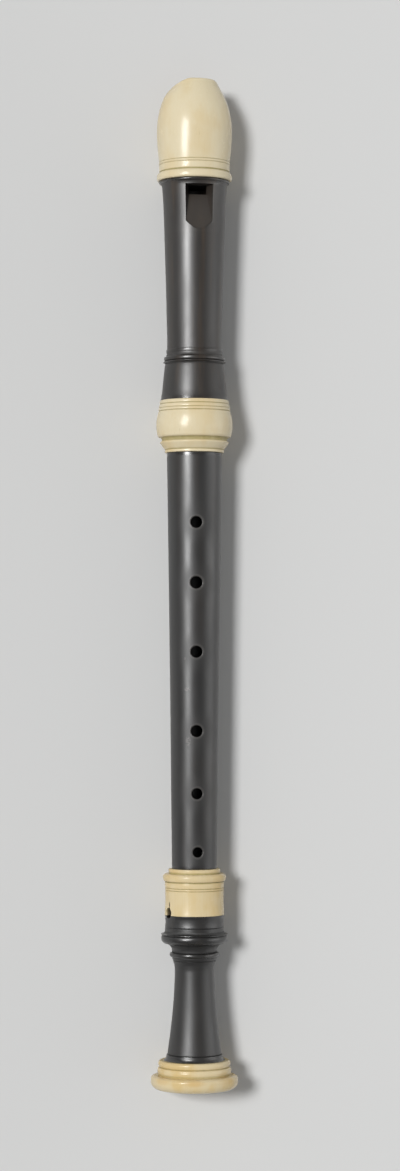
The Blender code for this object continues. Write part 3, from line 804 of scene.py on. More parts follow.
def dark_wood(look):
    """Old polished blackwood: brown streaks along the grain, fine pores, worn edges and hole rims."""
    shop = Shop("blackwood", look.wood_roughness)
    streaks = shop.noise((260, 14, 260), detail=4.0, roughness=0.6)
    patches = shop.noise((38, 16, 38), detail=3.0, roughness=0.55, shift=4.0)
    pores = shop.noise((2600, 110, 2600), detail=2.0, roughness=0.6, shift=9.0).between(0.62, 0.78)
    rubbed = shop.noise((900, 300, 900), detail=3.0, roughness=0.65, shift=2.0)
    cavity = shop.attribute("cavity")
    crest = (cavity * -1.0).between(0.25, 1.0) * rubbed.between(0.35, 0.75)
    head = shop.along.between(FOOT_FACE + HEAD_RING_TOP - 0.010, FOOT_FACE + HEAD_RING_TOP)
    brown = streaks.between(0.46, 0.80) * 0.55 + patches.between(0.50, 0.85) * 0.35
    brown = (brown * (head + 0.3) + head * 0.10).clamped()
    reaches = [2 * (radius + 2.2 * RIM_WIDTH) for _, radius, _ in FINGER_HOLES]
    holes = [(height, degrees, reach, reach) for (height, _, degrees), reach in zip(FINGER_HOLES, reaches)]
    from_hole = shop.nearest(holes)
    rim = 1.0 - from_hole.between(0.80, 1.05)
    fingered = 1.0 - from_hole.between(1.1, 3.0)
    knock = 1.0 - shop.nearest(KNOCKS).between(0.4, 1.15)
    knock = knock * shop.noise((900, 1500, 900), detail=3.0, roughness=0.7, shift=5.0).between(0.40, 0.56)
    worn = (crest * 0.12 + rim * 0.34 + knock * 0.75).clamped()
    colour = shop.mix(brown, look.wood, look.wood_brown)
    colour = shop.mix(worn, colour, look.wood_worn_and_highlight)
    carved = carved_window(shop)
    shaded_left_wall, right_edge_highlight = window_walls(shop)
    colour = shop.mix(carved * 0.8, colour, look.wood_carved)
    # Painted shade: the window's left wall darkened to near black
    colour = shop.mix(carved * shaded_left_wall * 0.9, colour, LEFT_WALL_SHADE)
    # Painted highlight: a strip along the window's right edge lightened towards the worn wood colour
    colour = shop.mix(right_edge_highlight * 0.45, colour, look.wood_worn_and_highlight)
    colour = shop.mix(pores * 0.5, colour, PORE)
    # Darker and duller in the hollows: near black colour and more roughness there
    in_hollows = cavity.between(0.35, 1.0)
    colour = shop.mix(in_hollows * 0.6, colour, HOLLOW_DARK)
    handled = shop.noise((70, 26, 70), detail=4.0, roughness=0.6, shift=7.0)
    polished = (cavity * -1.0).between(0.05, 0.60)
    roughness = look.wood_roughness + (handled - 0.5) * 0.30 + fingered * 0.09 + in_hollows * 0.25 - polished * 0.12
    lathe = shop.noise((60, 2600, 60), detail=2.0, roughness=0.5, shift=1.0)
    relief = lathe * 0.30 + streaks * 0.35 - pores * 0.20 + knock * 0.9
    normal = shop.bump(relief, distance=0.00005, strength=0.55)
    return shop.finish(Base_Color=colour, Roughness=roughness, Normal=normal, Specular_IOR_Level=1.0)


def carved_window(shop):
    """Unpolished wood of the ramp and of the window's walls, below the polished outside."""
    form = WINDOW_LOOK
    ramp_end = FOOT_FACE + LIP_HEIGHT - RAMP_LENGTH
    outside = LIP_LEVEL + RAMP_RISE - form.outside_margin
    below_outside = (outside - shop.radius()).between(0.0, form.outside_fade)
    above_lip = (shop.radius() - LIP_LEVEL + form.lip_margin).between(0.0, form.lip_fade)
    return below_outside * above_lip * shop.along.between(ramp_end - form.ramp_fade, ramp_end)


def window_walls(shop):
    """Painted shade on the window's left wall, and a painted highlight along its right edge."""
    form = WINDOW_LOOK
    front = shop.up - BORE_AXIS
    sideways = shop.side * math.cos(HEAD_TURN) - front * math.sin(HEAD_TURN)
    level = front * math.cos(HEAD_TURN) + shop.side * math.sin(HEAD_TURN)
    half_width = level * WINDOW_SPLAY + (LIP_WIDTH / 2 - LIP_LEVEL * WINDOW_SPLAY)
    # Painted shade over the left wall
    left = 1.0 - (sideways + half_width).between(*form.left_shade_fade)
    # Painted highlight along the window's right edge
    right = 1.0 - (sideways - half_width - form.edge_aside).math("ABSOLUTE").between(*form.edge_fade)
    start = FOOT_FACE + LIP_HEIGHT - RAMP_LENGTH * form.edge_start_share
    end = FOOT_FACE + WINDOW_TOP
    started = shop.along.between(start, start + form.edge_start_fade)
    right = right * shop.radius().between(*form.edge_radii) * started
    return left, right * (1.0 - shop.along.between(end, end + form.edge_end_fade))


def old_ivory(look, name, yellowing, clouding, soiling, stains):
    """Polished ivory: yellow clouds, faint lengthwise grain, hair cracks and dirt in the grooves."""
    shop = Shop(name, look.ivory_roughness)
    clouds = shop.noise((62, 40, 62), detail=3.0, roughness=0.55, shift=3.0)
    grain = shop.noise((1500, 40, 1500), detail=3.0, roughness=0.6, shift=1.0)
    mottle = shop.noise((420, 260, 420), detail=4.0, roughness=0.6, shift=6.0)
    cavity = shop.attribute("cavity")
    yellow = (clouds.between(0.40, 0.72) * clouding + (grain - 0.5) * 0.35 + yellowing).clamped()
    cracks = shop.noise((520, 9, 520), detail=2.0, roughness=0.5, shift=8.0)
    hair = 1.0 - ((cracks - 0.5).math("ABSOLUTE")).between(0.001, 0.010)
    hair = hair * shop.noise((90, 60, 90), detail=2.0, roughness=0.5, shift=2.0).between(0.54, 0.66)
    dirt = (cavity.between(0.10, 0.85) * (0.55 + mottle * 0.7)).clamped()
    colour = shop.mix(yellow, look.ivory, look.ivory_yellow)
    colour = shop.mix(mottle.between(0.62, 0.80) * 0.10, colour, look.ivory_dirt)
    colour = shop.mix(hair * 0.20, colour, look.ivory_dirt)
    for height, degrees, length, width, share in stains:
        stain = 1.0 - shop.distance(height, degrees, STAINED_RADIUS, length, width).between(0.3, 1.3)
        colour = shop.mix(stain * share * (0.6 + clouds * 0.8), colour, look.ivory_stain)
    colour = shop.mix(dirt * soiling, colour, look.ivory_dirt)
    # Painted shade: the crack's dark line and the inside of the little finger's hole
    crack = crack_shadow_line(shop).math("MAXIMUM", hole_shade(shop))
    colour = shop.mix(crack, colour, look.ivory_crack_and_hole_shade)
    roughness = look.ivory_roughness + (mottle - 0.5) * 0.16 + dirt * 0.30 + crack * 0.3
    relief = grain * 0.5 + shop.noise((60, 2200, 60), detail=2.0, roughness=0.5, shift=1.0) * 0.25
    normal = shop.bump(relief, distance=0.00003, strength=0.5)
    return shop.finish(Base_Color=colour, Roughness=roughness, Normal=normal, Specular_IOR_Level=0.36)


def crack_shadow_line(shop):
    """Painted shadow: dark line over the crack that runs up the foot's ivory from the little finger's hole.
    """
    height, radius, degrees = LITTLE_FINGER_HOLE
    above, sideways, length, width = CRACK_SHADOW_LINE
    wander = (shop.noise((0, 900, 0), detail=2.0, roughness=0.6, shift=3.0) - 0.5) * 0.9
    middle = height + radius + above
    distance = shop.distance(middle, degrees + sideways, LITTLE_FINGER_SURFACE, length, width)
    return 1.0 - (distance + wander * 0.5).between(0.45, 0.95)


def hole_shade(shop):
    """Painted shade inside the little finger's hole, darker with depth."""
    height, radius, degrees = LITTLE_FINGER_HOLE
    reach = 2 * radius + 2 * RIM_WIDTH
    # Painted shade, deepening towards the bottom of the hole
    inside = 1.0 - shop.distance(height, degrees, HOLE_SHADE.radius, reach, reach).between(1.0, 1.2)
    return inside * (HOLE_SHADE.top - shop.radius()).between(0.0, HOLE_SHADE.depth) * 0.9


def block_cedar(look):
    """Bare cedar: growth rings across the end, straight grain along the side, painted near black at the
    window as shade.
    """
    shop = Shop("block_cedar", 0.62)
    wobble = shop.noise((240, 30, 240), detail=3.0, roughness=0.5)
    rings = ((shop.up * 900.0 + shop.side * 260.0 + wobble * 2.4).math("SINE") * 0.5 + 0.5) ** 2.5
    fibres = shop.noise((3200, 90, 3200), detail=3.0, roughness=0.6, shift=4.0)
    window = FOOT_FACE + WINDOW_TOP
    window_shade = 1.0 - shop.along.between(window + WINDOW_SHADE_START, window + WINDOW_SHADE_END)
    colour = shop.mix(rings * 0.7 + (fibres - 0.5) * 0.4, look.cedar, look.cedar_dark)
    # Painted shade: the block's end at the window darkened to near black
    colour = shop.mix(window_shade, colour, look.cedar_shaded)
    return shop.finish(
        Base_Color=colour,
        Roughness=0.55 + fibres * 0.2,
        Normal=shop.bump(fibres * 0.6 - rings * 0.4, distance=0.00006, strength=0.6),
    )


def waxed_thread(look):
    """Wound thread, waxed: darker between the turns as painted shade, with a fine twist."""
    shop = Shop("waxed_thread", 0.70)
    twist = (shop.turn() * 240.0 + shop.along * 9000.0).math("SINE") * 0.5 + 0.5
    soiled = shop.noise((300, 300, 300), detail=4.0, roughness=0.6)
    colour = shop.mix(soiled.between(0.35, 0.75), look.thread, look.thread_soiled)
    # Painted shade between the thread's turns
    colour = shop.mix(twist * 0.25, colour, look.thread_strand_shade)
    normal = shop.bump(twist, distance=0.00005, strength=0.5)
    return shop.finish(Base_Color=colour, Roughness=0.60 + soiled * 0.2, Normal=normal)


def material(name, make, *details):
    """The named finish, made the first time that it is asked for."""
    return bpy.data.materials.get(name) or make(bpy.context.scene.recorder_finish, *details)


def blackwood():
    """The one wood of all three joints."""
    return material("blackwood", dark_wood)


def ivory(name):
    """One of the ivories, by its name."""
    return material(name, old_ivory, name, *IVORIES[name])


def add_object(name, mesh):
    """Object at the origin."""
    piece = bpy.data.objects.new(name, mesh)
    bpy.context.scene.collection.objects.link(piece)
    return piece


def turned(name, outline):
    """Solid of revolution from a closed outline, standing on the foot's end face."""
    points = outline.softened()
    mesh = bpy.data.meshes.new(name)
    edges = [(index, (index + 1) % len(points)) for index in range(len(points))]
    mesh.from_pydata([(radius, 0.0, height) for radius, height in points], edges, [])
    piece = add_object(name, mesh)
    screw = piece.modifiers.new("turn", "SCREW")
    screw.axis = "Z"
    screw.angle = 2 * math.pi
    screw.steps = screw.render_steps = bpy.context.scene.recorder_turning.facets
    screw.use_merge_vertices = True
    screw.merge_threshold = 0.000001
    return piece


def mesh_from(shape, name):
    """Mesh made from a bmesh shape, which is freed."""
    mesh = bpy.data.meshes.new(name)
    shape.to_mesh(mesh)
    shape.free()
    return mesh


def evaluated_mesh(thing):
    """New mesh of an object with its modifiers or its bevel applied."""
    bpy.context.view_layer.update()
    graph = bpy.context.evaluated_depsgraph_get()
    return bpy.data.meshes.new_from_object(thing.evaluated_get(graph))


def skin(shape, loops):
    """Faces between neighbouring loops of points, lowest loop first, and over both ends."""
    for low, high in zip(loops, loops[1:]):
        for index, corner in enumerate(low):
            following = (index + 1) % len(low)
            shape.faces.new((corner, low[following], high[following], high[index]))
    shape.faces.new(reversed(loops[0]))
    shape.faces.new(loops[-1])
    bmesh.ops.recalc_face_normals(shape, faces=shape.faces)


def cut(piece, shape):
    """Takes a bmesh shape out of the piece and frees it."""
    for face in shape.faces:
        face.material_index = 1
    mesh = mesh_from(shape, "cutter")
    for solid in (mesh, piece.data):
        while len(solid.materials) < 2:
            solid.materials.append(None)
    cutter = add_object("cutter", mesh)
    boolean = piece.modifiers.new("cut", "BOOLEAN")
    boolean.operation = "DIFFERENCE"
    boolean.solver = "EXACT"
    boolean.object = cutter


def fix_modifiers(piece):
    """Makes the modifiers the piece's own mesh and removes the cutters."""
    mesh = evaluated_mesh(piece)
    cutters = [modifier.object for modifier in piece.modifiers if modifier.type == "BOOLEAN"]
    piece.modifiers.clear()
    for cutter in cutters:
        bpy.data.objects.remove(cutter, do_unlink=True)
    piece.data = mesh
    return mesh


def settle(piece, finish, node, outline=None, unevenness=0.00003, turn=0.0):
    """Wears the piece, lays it down turned round its bore, and gives it its finish and body."""
    mesh = fix_modifiers(piece)
    roughen(mesh, unevenness)
    if outline is not None:
        mark_cavities(mesh, outline)
    wear_tip(mesh)
    mesh.transform(LAID_DOWN @ Matrix.Rotation(turn, 4, "Z"))
    mesh.shade_smooth()
    mesh.set_sharp_from_angle(angle=SHARP_ANGLE)
    sharpen_cuts(mesh)
    weighted = piece.modifiers.new("normals", "WEIGHTED_NORMAL")
    weighted.keep_sharp = True
    mesh = fix_modifiers(piece)
    mesh.materials.clear()
    mesh.materials.append(finish)
    body = frame["nodes"][node]["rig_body"]
    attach(piece, body)
    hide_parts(node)
    return piece


def sharpen_cuts(mesh):
    """Keeps an edge wherever a face that a cutter left meets one that was turned."""
    faces_of = {}
    for face in mesh.polygons:
        for key in face.edge_keys:
            faces_of.setdefault(key, []).append(face.material_index)
    for edge in mesh.edges:
        edge.use_edge_sharp |= len(set(faces_of[edge.key])) > 1
    for face in mesh.polygons:
        face.material_index = 0


def wear_tip(mesh):
    """Rounds off the corners of the beak's tip and of the block in it, the left one more."""
    for vertex in mesh.vertices:
        nearness = 1 - (BEAK_TIP - vertex.co.z) / TIP_WEAR_REACH
        if nearness <= 0:
            continue
        worn = 0.0
        for side, start, width, power, depth in TIP_WEAR:
            worn += max(0.0, (side * vertex.co.x - start) / width) ** power * depth
        vertex.co.z -= min(worn, TIP_WEAR_LIMIT) * nearness**2


def roughen(mesh, depth):
    """Moves the points in and out a little, as hand turning and wear leave them."""
    for vertex in mesh.vertices:
        wave = noise.noise(vertex.co * BROAD_WAVES) + FINE_WAVE_SHARE * noise.noise(vertex.co * FINE_WAVES)
        radius = math.hypot(vertex.co.x, vertex.co.y)
        vertex.co.xy *= 1 + depth * wave / max(radius, LEAST_WAVY_RADIUS)


def mark_cavities(mesh, outline):
    """Stores how far each point lies below (1) or above (-1) the form around it."""
    outer = outline.points[: outline.outside or len(outline.points)]
    heights = np.array([height for _, height in outer])[::-1]
    radii = np.array([radius for radius, _ in outer])[::-1]
    heights = np.maximum.accumulate(heights) + np.arange(len(heights)) * 1e-9
    ladder = np.arange(heights[0], heights[-1], CAVITY_SPACING)
    surface = np.interp(ladder, heights, radii)
    reach = int(3 * CAVITY_SPAN / CAVITY_SPACING)
    weights = np.exp(-0.5 * (np.arange(-reach, reach + 1) * CAVITY_SPACING / CAVITY_SPAN) ** 2)
    around = np.convolve(np.pad(surface, reach, mode="edge"), weights / weights.sum(), mode="valid")
    places = np.empty(len(mesh.vertices) * 3)
    mesh.vertices.foreach_get("co", places)
    places = places.reshape(-1, 3)
    radius = np.hypot(places[:, 0], places[:, 1])
    below = np.interp(places[:, 2], ladder, around) - radius
    cavity = np.clip(below / CAVITY_DEPTH, -1.0, 1.0)
    cavity[radius < np.interp(places[:, 2], ladder, surface) - CAVITY_SKIN] = 0.0
    mesh.attributes.new("cavity", "FLOAT", "POINT").data.foreach_set("value", cavity.astype(np.float32))


def always(value):
    """Rule that gives the same value everywhere."""
    return lambda place: value


def wedge(lower, upper, floor, roof, half_width):
    """Box whose floor, roof and sides follow the rules given.

    floor and roof give the distance in front of the axis at a height, and half_width gives the
    half width at a distance in front of the axis.
    """
    shape = bmesh.new()
    bmesh.ops.create_cube(shape, size=2.0)
    for corner in shape.verts:
        side, front, end = corner.co
        height = upper if end > 0 else lower
        level = roof(height) if front < 0 else floor(height)
        corner.co = (side * half_width(level), -level, height)
    return shape


def ringed_hole(height, radius, degrees, surface, bore):
    """Finger hole: undercut at the bore, with a rim worn round where fingers close it."""
    inner = bore * HOLE_START_SHARE
    slope = HOLE_UNDERCUT / (surface - bore)
    rings = [(radius + slope * (surface - inner), None, inner), (radius, -RIM_DEPTH, None)]
    for step in range(1, RIM_STEPS + 1):
        turn = math.pi / 2 * step / RIM_STEPS
        rings.append((radius + RIM_WIDTH * (1 - math.cos(turn)), -RIM_DEPTH * (1 - math.sin(turn)), None))
    rings.append((radius + RIM_WIDTH, CUTTER_REACH, None))
    shape = bmesh.new()
    loops = []
    for ring, depth, flat in rings:
        loop = []
        for index in range(HOLE_SIDES):
            turn = 2 * math.pi * index / HOLE_SIDES
            side = ring * math.cos(turn)
            level = flat if flat is not None else math.sqrt(surface**2 - side**2) + depth
            loop.append(shape.verts.new((side, -level, ring * math.sin(turn))))
        loops.append(loop)
    skin(shape, loops)
    place = Matrix.Translation((0.0, 0.0, height)) @ Matrix.Rotation(math.radians(degrees), 4, "Z")
    bmesh.ops.transform(shape, matrix=place, verts=shape.verts)
    return shape


def taper(height, low, high, low_radius, high_radius):
    """Radius of an even taper at a height between two ends."""
    return low_radius + (high_radius - low_radius) * (height - low) / (high - low)


def middle_radius(height):
    """Outer radius of the middle joint."""
    sizes = bpy.context.scene.recorder_turning
    share = (height - FOOT_MOUTH) / (HEAD_MOUTH - FOOT_MOUTH)
    even = taper(share, 0.0, 1.0, sizes.middle_lower, sizes.middle_upper)
    return even - MIDDLE.hollow * share * (1 - share)


def middle_outline():
    """Middle joint: two tenons with their channels, and the slender body between the mouths."""
    top = HEAD_MOUTH - RUNNING_GAP
    low = FOOT_MOUTH + RUNNING_GAP
    outline = Outline(UPPER_TENON_RADIUS, UPPER_TENON_END)
    outline.down(TENON_COLLAR).across(UPPER_TENON_RADIUS - LAPPING_DEPTH)
    outline.down_to(top + TENON_COLLAR).across(UPPER_TENON_RADIUS).down_to(top)
    outline.across(middle_radius(top))
    for step in range(1, MIDDLE.steps + 1):
        height = top + (low - top) * step / MIDDLE.steps
        outline.to(middle_radius(height), height)
    outline.across(LOWER_TENON_RADIUS).down(TENON_COLLAR)
    outline.across(LOWER_TENON_RADIUS - LAPPING_DEPTH).down_to(LOWER_TENON_END + TENON_COLLAR)
    outline.across(LOWER_TENON_RADIUS).down_to(LOWER_TENON_END).bore()
    outline.across(MIDDLE_BORE_BOTTOM_RADIUS)
    return outline.to(MIDDLE_BORE_TOP_RADIUS, UPPER_TENON_END)


def foot_wood_outline():
    """Foot's wood: socket lining, neck, bead, cup and small ring, flared shaft and spigot."""
    shaft = bpy.context.scene.recorder_turning.shaft
    socket = LOWER_TENON_RADIUS + RUNNING_GAP
    lining_end = FOOT_MOUTH - RING_LIP - GLUE_GAP
    form = FOOT_WOOD
    outline = Outline(FOOT_LINING_RADIUS, lining_end)
    outline.down_to(FOOT_RING_BASE - GLUE_GAP).across(form.neck_radius)
    outline.swell(-form.neck_hollow, form.neck_length, form.neck_end_radius).groove(form.neck_groove)
    outline.down(form.collar_length).upright(form.fillet_radius, form.fillet_length)
    outline.down(form.fillet_edge).across(form.bead_seat_radius)
    outline.bead(form.bead_radius, form.bead_length, form.bead_end_radius)
    outline.down(form.cup_edge).down(form.cup_drop, form.cup_radius)
    outline.sideways(form.throat_radius, form.cup_length).down(form.throat_step, form.throat_step_radius)
    outline.across(form.small_ring_seat_radius)
    outline.bead(form.small_ring_radius, form.small_ring_length, form.small_ring_end_radius)
    outline.swell(FINE_SWELL, form.fillet_under_ring, form.shaft_top_radius).groove(form.shaft_groove)
    outline.flare(shaft + form.shaft_ease, form.shaft_ease_length, form.shaft_ease_power, steps=5)
    outline.down(form.shaft_lead, shaft)
    flare_length = outline.above(END_RING_TOP + form.flange_height)
    outline.flare(form.flare_radius, flare_length, form.flare_power, steps=40)
    outline.groove(form.flange_groove, form.flange_groove).across(form.flange_radius)
    outline.upright(form.flange_end_radius, form.flange_length - GLUE_GAP)
    outline.across(FOOT_SPIGOT_RADIUS).bore().down_to(END_FACE_THICKNESS + GLUE_GAP)
    outline.across(FOOT_BORE_BOTTOM_RADIUS).to(FOOT_BORE_TOP_RADIUS, LOWER_TENON_END - RUNNING_GAP)
    return outline.across(socket).to(socket, lining_end)


def end_ring_outline():
    """Ivory end of the foot: two beads over the wide round, and the flat end face."""
    widest = bpy.context.scene.recorder_turning.end_ring
    form = END_RING
    outline = Outline(form.top_radius, END_RING_TOP)
    outline.sideways(form.upper_bead_radius, form.upper_bead_rise)
    outline.swell(FINE_SWELL, form.upper_bead_length, form.upper_bead_end_radius)
    outline.groove(form.groove, form.groove).sideways(form.lower_bead_radius, form.lower_bead_rise)
    outline.swell(FINE_SWELL, form.lower_bead_length)
    outline.upright(form.lower_bead_end_radius, form.lower_bead_fall).down(form.step)
    outline.across(form.shelf_radius).sideways(widest, form.shoulder).down(form.round_length)
    outline.upright(form.face_radius, outline.above(0.0))
    outline.across(FOOT_BORE_BOTTOM_RADIUS + form.bore_chamfer)
    outline.to(FOOT_BORE_BOTTOM_RADIUS, form.bore_chamfer).bore()
    outline.to(FOOT_BORE_BOTTOM_RADIUS, END_FACE_THICKNESS)
    return outline.across(FOOT_SPIGOT_RADIUS + GLUE_GAP).to(FOOT_SPIGOT_RADIUS + GLUE_GAP, END_RING_TOP)


def foot_ring_outline():
    """Ivory sleeve round the foot's socket: rim, bead, fine beads and a slightly hollow band."""
    socket = LOWER_TENON_RADIUS + RUNNING_GAP
    form = FOOT_RING
    outline = Outline(form.mouth_radius, FOOT_MOUTH)
    outline.sideways(form.rim_radius, form.rim_rounding).down(form.rim_length, form.rim_end_radius)
    outline.across(form.bead_seat_radius).sideways(form.bead_radius, form.bead_rise)
    outline.upright(form.bead_end_radius, form.bead_fall)
    outline.down(form.step, form.step_radius).down(form.step_length).across(form.band_radius)
    for length in (form.band_length, form.fine_band_length):
        outline.swell(FINE_SWELL, length).groove()
    outline.swell(-form.sleeve_hollow, outline.above(FOOT_RING_BASE), form.sleeve_end_radius)
    outline.across(FOOT_LINING_RADIUS + GLUE_GAP).bore()
    outline.to(FOOT_LINING_RADIUS + GLUE_GAP, FOOT_MOUTH - RING_LIP)
    return outline.across(socket).to(socket, FOOT_MOUTH)


def head_ring_outline():
    """Ivory bulge round the head's socket: three fine bands, bulge, deep cove, edge and rim."""
    widest = bpy.context.scene.recorder_turning.head_ring
    socket = UPPER_TENON_RADIUS + RUNNING_GAP
    form = HEAD_RING
    outline = Outline(form.top_radius, HEAD_RING_TOP)
    for length, radius in form.bands:
        outline.swell(form.band_swell, length, radius, steps=6).groove(form.band_groove)
    outline.across(form.bulge_seat_radius)
    outline.sideways(widest - form.bulge_top_inset, form.bulge_rise, steps=4)
    outline.swell(form.bulge_swell, form.bulge_length, widest - form.bulge_foot_inset, steps=16)
    outline.upright(form.bulge_end_radius, form.bulge_fall).down(form.cove_edge, form.cove_radius)
    outline.swell(-form.cove_hollow, form.cove_length, form.cove_end_radius)
    outline.sideways(form.edge_radius, form.edge_rounding)
    outline.flare(form.slope_end_radius, form.slope_length, form.slope_power, steps=8)
    outline.across(form.rim_radius).down_to(form.rim_edge + HEAD_MOUTH)
    outline.down_to(HEAD_MOUTH, form.rim_end_radius)
    outline.across(socket).bore().to(socket, HEAD_MOUTH + RING_LIP)
    outline.across(HEAD_LINING_RADIUS + GLUE_GAP)
    return outline.to(HEAD_LINING_RADIUS + GLUE_GAP, HEAD_RING_TOP)


def head_wood_outline():
    """Head's wood: spigot for the beak, ridge, long head, sharp ring moulding, cone and lining."""
    sizes = bpy.context.scene.recorder_turning
    base = HEAD_RING_TOP + GLUE_GAP
    socket = UPPER_TENON_RADIUS + RUNNING_GAP
    form = HEAD_WOOD
    outline = Outline(CAP_SPIGOT_RADIUS, CAP_SPIGOT_END)
    outline.down_to(CAP_BASE - GLUE_GAP).across(form.ridge_seat_radius)
    outline.bead(form.ridge_radius, form.ridge_length, form.ridge_seat_radius)
    outline.sideways(sizes.shoulder, form.shoulder_fall)
    outline.down(form.shoulder_length, sizes.shoulder - form.shoulder_taper)
    taper_length = outline.above(HEAD_RING_TOP + form.moulding_height) - form.waist_length
    outline.flare(sizes.waist, taper_length, form.waist_power, steps=40).down(form.waist_length)
    outline.across(form.fillet_radius).swell(FINE_SWELL, form.fillet_length)
    outline.across(form.cove_radius).upright(form.cove_end_radius, form.cove_length)
    outline.bead(form.upper_bead_radius, form.upper_bead_length, form.upper_bead_end_radius)
    outline.groove(form.bead_groove, form.bead_groove)
    outline.bead(form.lower_bead_radius, form.lower_bead_length, form.lower_bead_end_radius)
    outline.down(form.step_length, form.step_radius).down(form.edge_length, form.edge_radius)
    cone_length = outline.above(base + form.cone_foot_height)
    outline.flare(form.cone_radius, cone_length, form.cone_power, steps=12)
    outline.down_to(base, form.cone_end_radius)
    outline.across(HEAD_LINING_RADIUS).bore().down_to(HEAD_MOUTH + RING_LIP + GLUE_GAP)
    outline.across(socket).to(socket, UPPER_TENON_END).across(HEAD_BORE_RADIUS)
    outline.to(HEAD_BORE_RADIUS, WINDOW_TOP - RUNNING_GAP).across(BLOCK_RADIUS + RUNNING_GAP)
    return outline.to(BLOCK_RADIUS + RUNNING_GAP, CAP_SPIGOT_END)


def beak_outline():
    """Ivory beak before its cuts: rounded tip, swelling sides, two fine beads and a soft collar."""
    widest = bpy.context.scene.recorder_turning.beak
    seat = CAP_SPIGOT_END + GLUE_GAP
    form = BEAK
    outline = Outline(form.tip_radius, BEAK_TIP).sideways(form.side_radius, form.tip_rounding)
    for step in range(1, form.swell_steps + 1):
        narrower = (widest - form.side_radius) * (1 - step / form.swell_steps) ** 2
        outline.down(form.swell_length / form.swell_steps, widest - narrower)
    neck_length = outline.above(CAP_BASE) - form.collar_height
    outline.flare(form.neck_radius, neck_length, form.neck_power, steps=10)
    outline.groove(form.upper_groove).swell(form.fine_band_swell, form.fine_band_length)
    outline.groove(form.lower_groove).sideways(form.bead_radius, form.bead_rise)
    outline.upright(form.bead_end_radius, form.bead_fall)
    outline.groove(form.rim_groove_depth, form.rim_groove_width)
    outline.sideways(form.rim_radius, form.rim_rise).down(form.rim_length)
    outline.upright(form.rim_end_radius, outline.above(CAP_BASE))
    outline.across(CAP_SPIGOT_RADIUS + GLUE_GAP).bore().to(CAP_SPIGOT_RADIUS + GLUE_GAP, seat)
    return outline.across(BLOCK_RADIUS + RUNNING_GAP).to(BLOCK_RADIUS + RUNNING_GAP, BEAK_TIP)


def beak_cut():
    """Wide cylinder across the back, through the start of the beak's cut and its thin tip."""
    widest = bpy.context.scene.recorder_turning.beak
    tip = (BEAK_TIP, BEAK_THICKNESS_BEHIND)
    start = (BEAK_TIP - BEAK_CUT_LENGTH, widest)
    along = (tip[0] - start[0], tip[1] - start[1])
    chord = math.hypot(*along)
    reach = math.sqrt(BEAK_CUT_RADIUS**2 - (chord / 2) ** 2) / chord
    centre_height = (tip[0] + start[0]) / 2 - along[1] * reach
    centre_back = (tip[1] + start[1]) / 2 + along[0] * reach
    shape = bmesh.new()
    bmesh.ops.create_cone(
        shape,
        cap_ends=True,
        segments=240,
        radius1=BEAK_CUT_RADIUS,
        radius2=BEAK_CUT_RADIUS,
        depth=3 * widest,
    )
    place = Matrix.Translation((0.0, centre_back, centre_height)) @ Matrix.Rotation(math.pi / 2, 4, "Y")
    bmesh.ops.transform(shape, matrix=place, verts=shape.verts)
    return shape


def windway_cut():
    """Flat slot above the block, from the window to beyond the beak's tip."""
    return wedge(
        WINDOW_TOP - CUTTER_LAP,
        BEAK_TIP + CUTTER_REACH,
        always(BLOCK_RADIUS / 2),
        always(WINDWAY_FLOOR + WINDWAY_HEIGHT),
        always(WINDWAY_WIDTH / 2),
    )


def window_cuts():
    """Window, ramp, the undercut below the lip and the throat between them."""
    outside = RIDGE_RADIUS + CUTTER_REACH
    ramp_run_out = LIP_HEIGHT - RAMP_LENGTH - CUTTER_REACH
    undercut_low = LIP_HEIGHT - LIP_UNDERCUT_LENGTH
    half_lip = LIP_WIDTH / 2

    def splayed(level):
        return half_lip + (level - LIP_LEVEL) * WINDOW_SPLAY

    def ramp_floor(height):
        return LIP_LEVEL + RAMP_RISE * (LIP_HEIGHT - height) / RAMP_LENGTH

    def undercut_roof(height):
        drop = HEAD_BORE_RADIUS - math.sqrt(HEAD_BORE_RADIUS**2 - half_lip**2)
        return HEAD_BORE_RADIUS - drop * (LIP_HEIGHT - height) / LIP_UNDERCUT_LENGTH

    throat_top = always(LIP_LEVEL + CUTTER_LAP)
    plan = (
        (LIP_HEIGHT, WINDOW_TOP, always(LIP_LEVEL), always(outside), splayed),
        (LIP_HEIGHT, WINDOW_TOP, always(THROAT_LEVEL), throat_top, always(half_lip)),
        (ramp_run_out, LIP_HEIGHT + CUTTER_LAP, ramp_floor, always(outside), splayed),
        (undercut_low, LIP_HEIGHT, always(THROAT_LEVEL), undercut_roof, always(half_lip)),
    )
    return [wedge(*rule) for rule in plan]


class RECORDER_OT_middle(bpy.types.Operator):
    """Turn and bore the middle joint with its finger holes and thumb hole"""

    bl_idname = "recorder.middle"
    bl_label = "Middle Joint"

    def execute(self, context):
        outline = middle_outline()
        piece = turned("middle_joint", outline)
        ends = (LOWER_TENON_END, UPPER_TENON_END, MIDDLE_BORE_BOTTOM_RADIUS, MIDDLE_BORE_TOP_RADIUS)
        for height, radius, degrees in (*FINGER_HOLES, THUMB_HOLE):
            bore = taper(height, *ends)
            cut(piece, ringed_hole(height, radius, degrees, middle_radius(height), bore))
        settle(piece, blackwood(), "middle_body", outline)
        return {"FINISHED"}


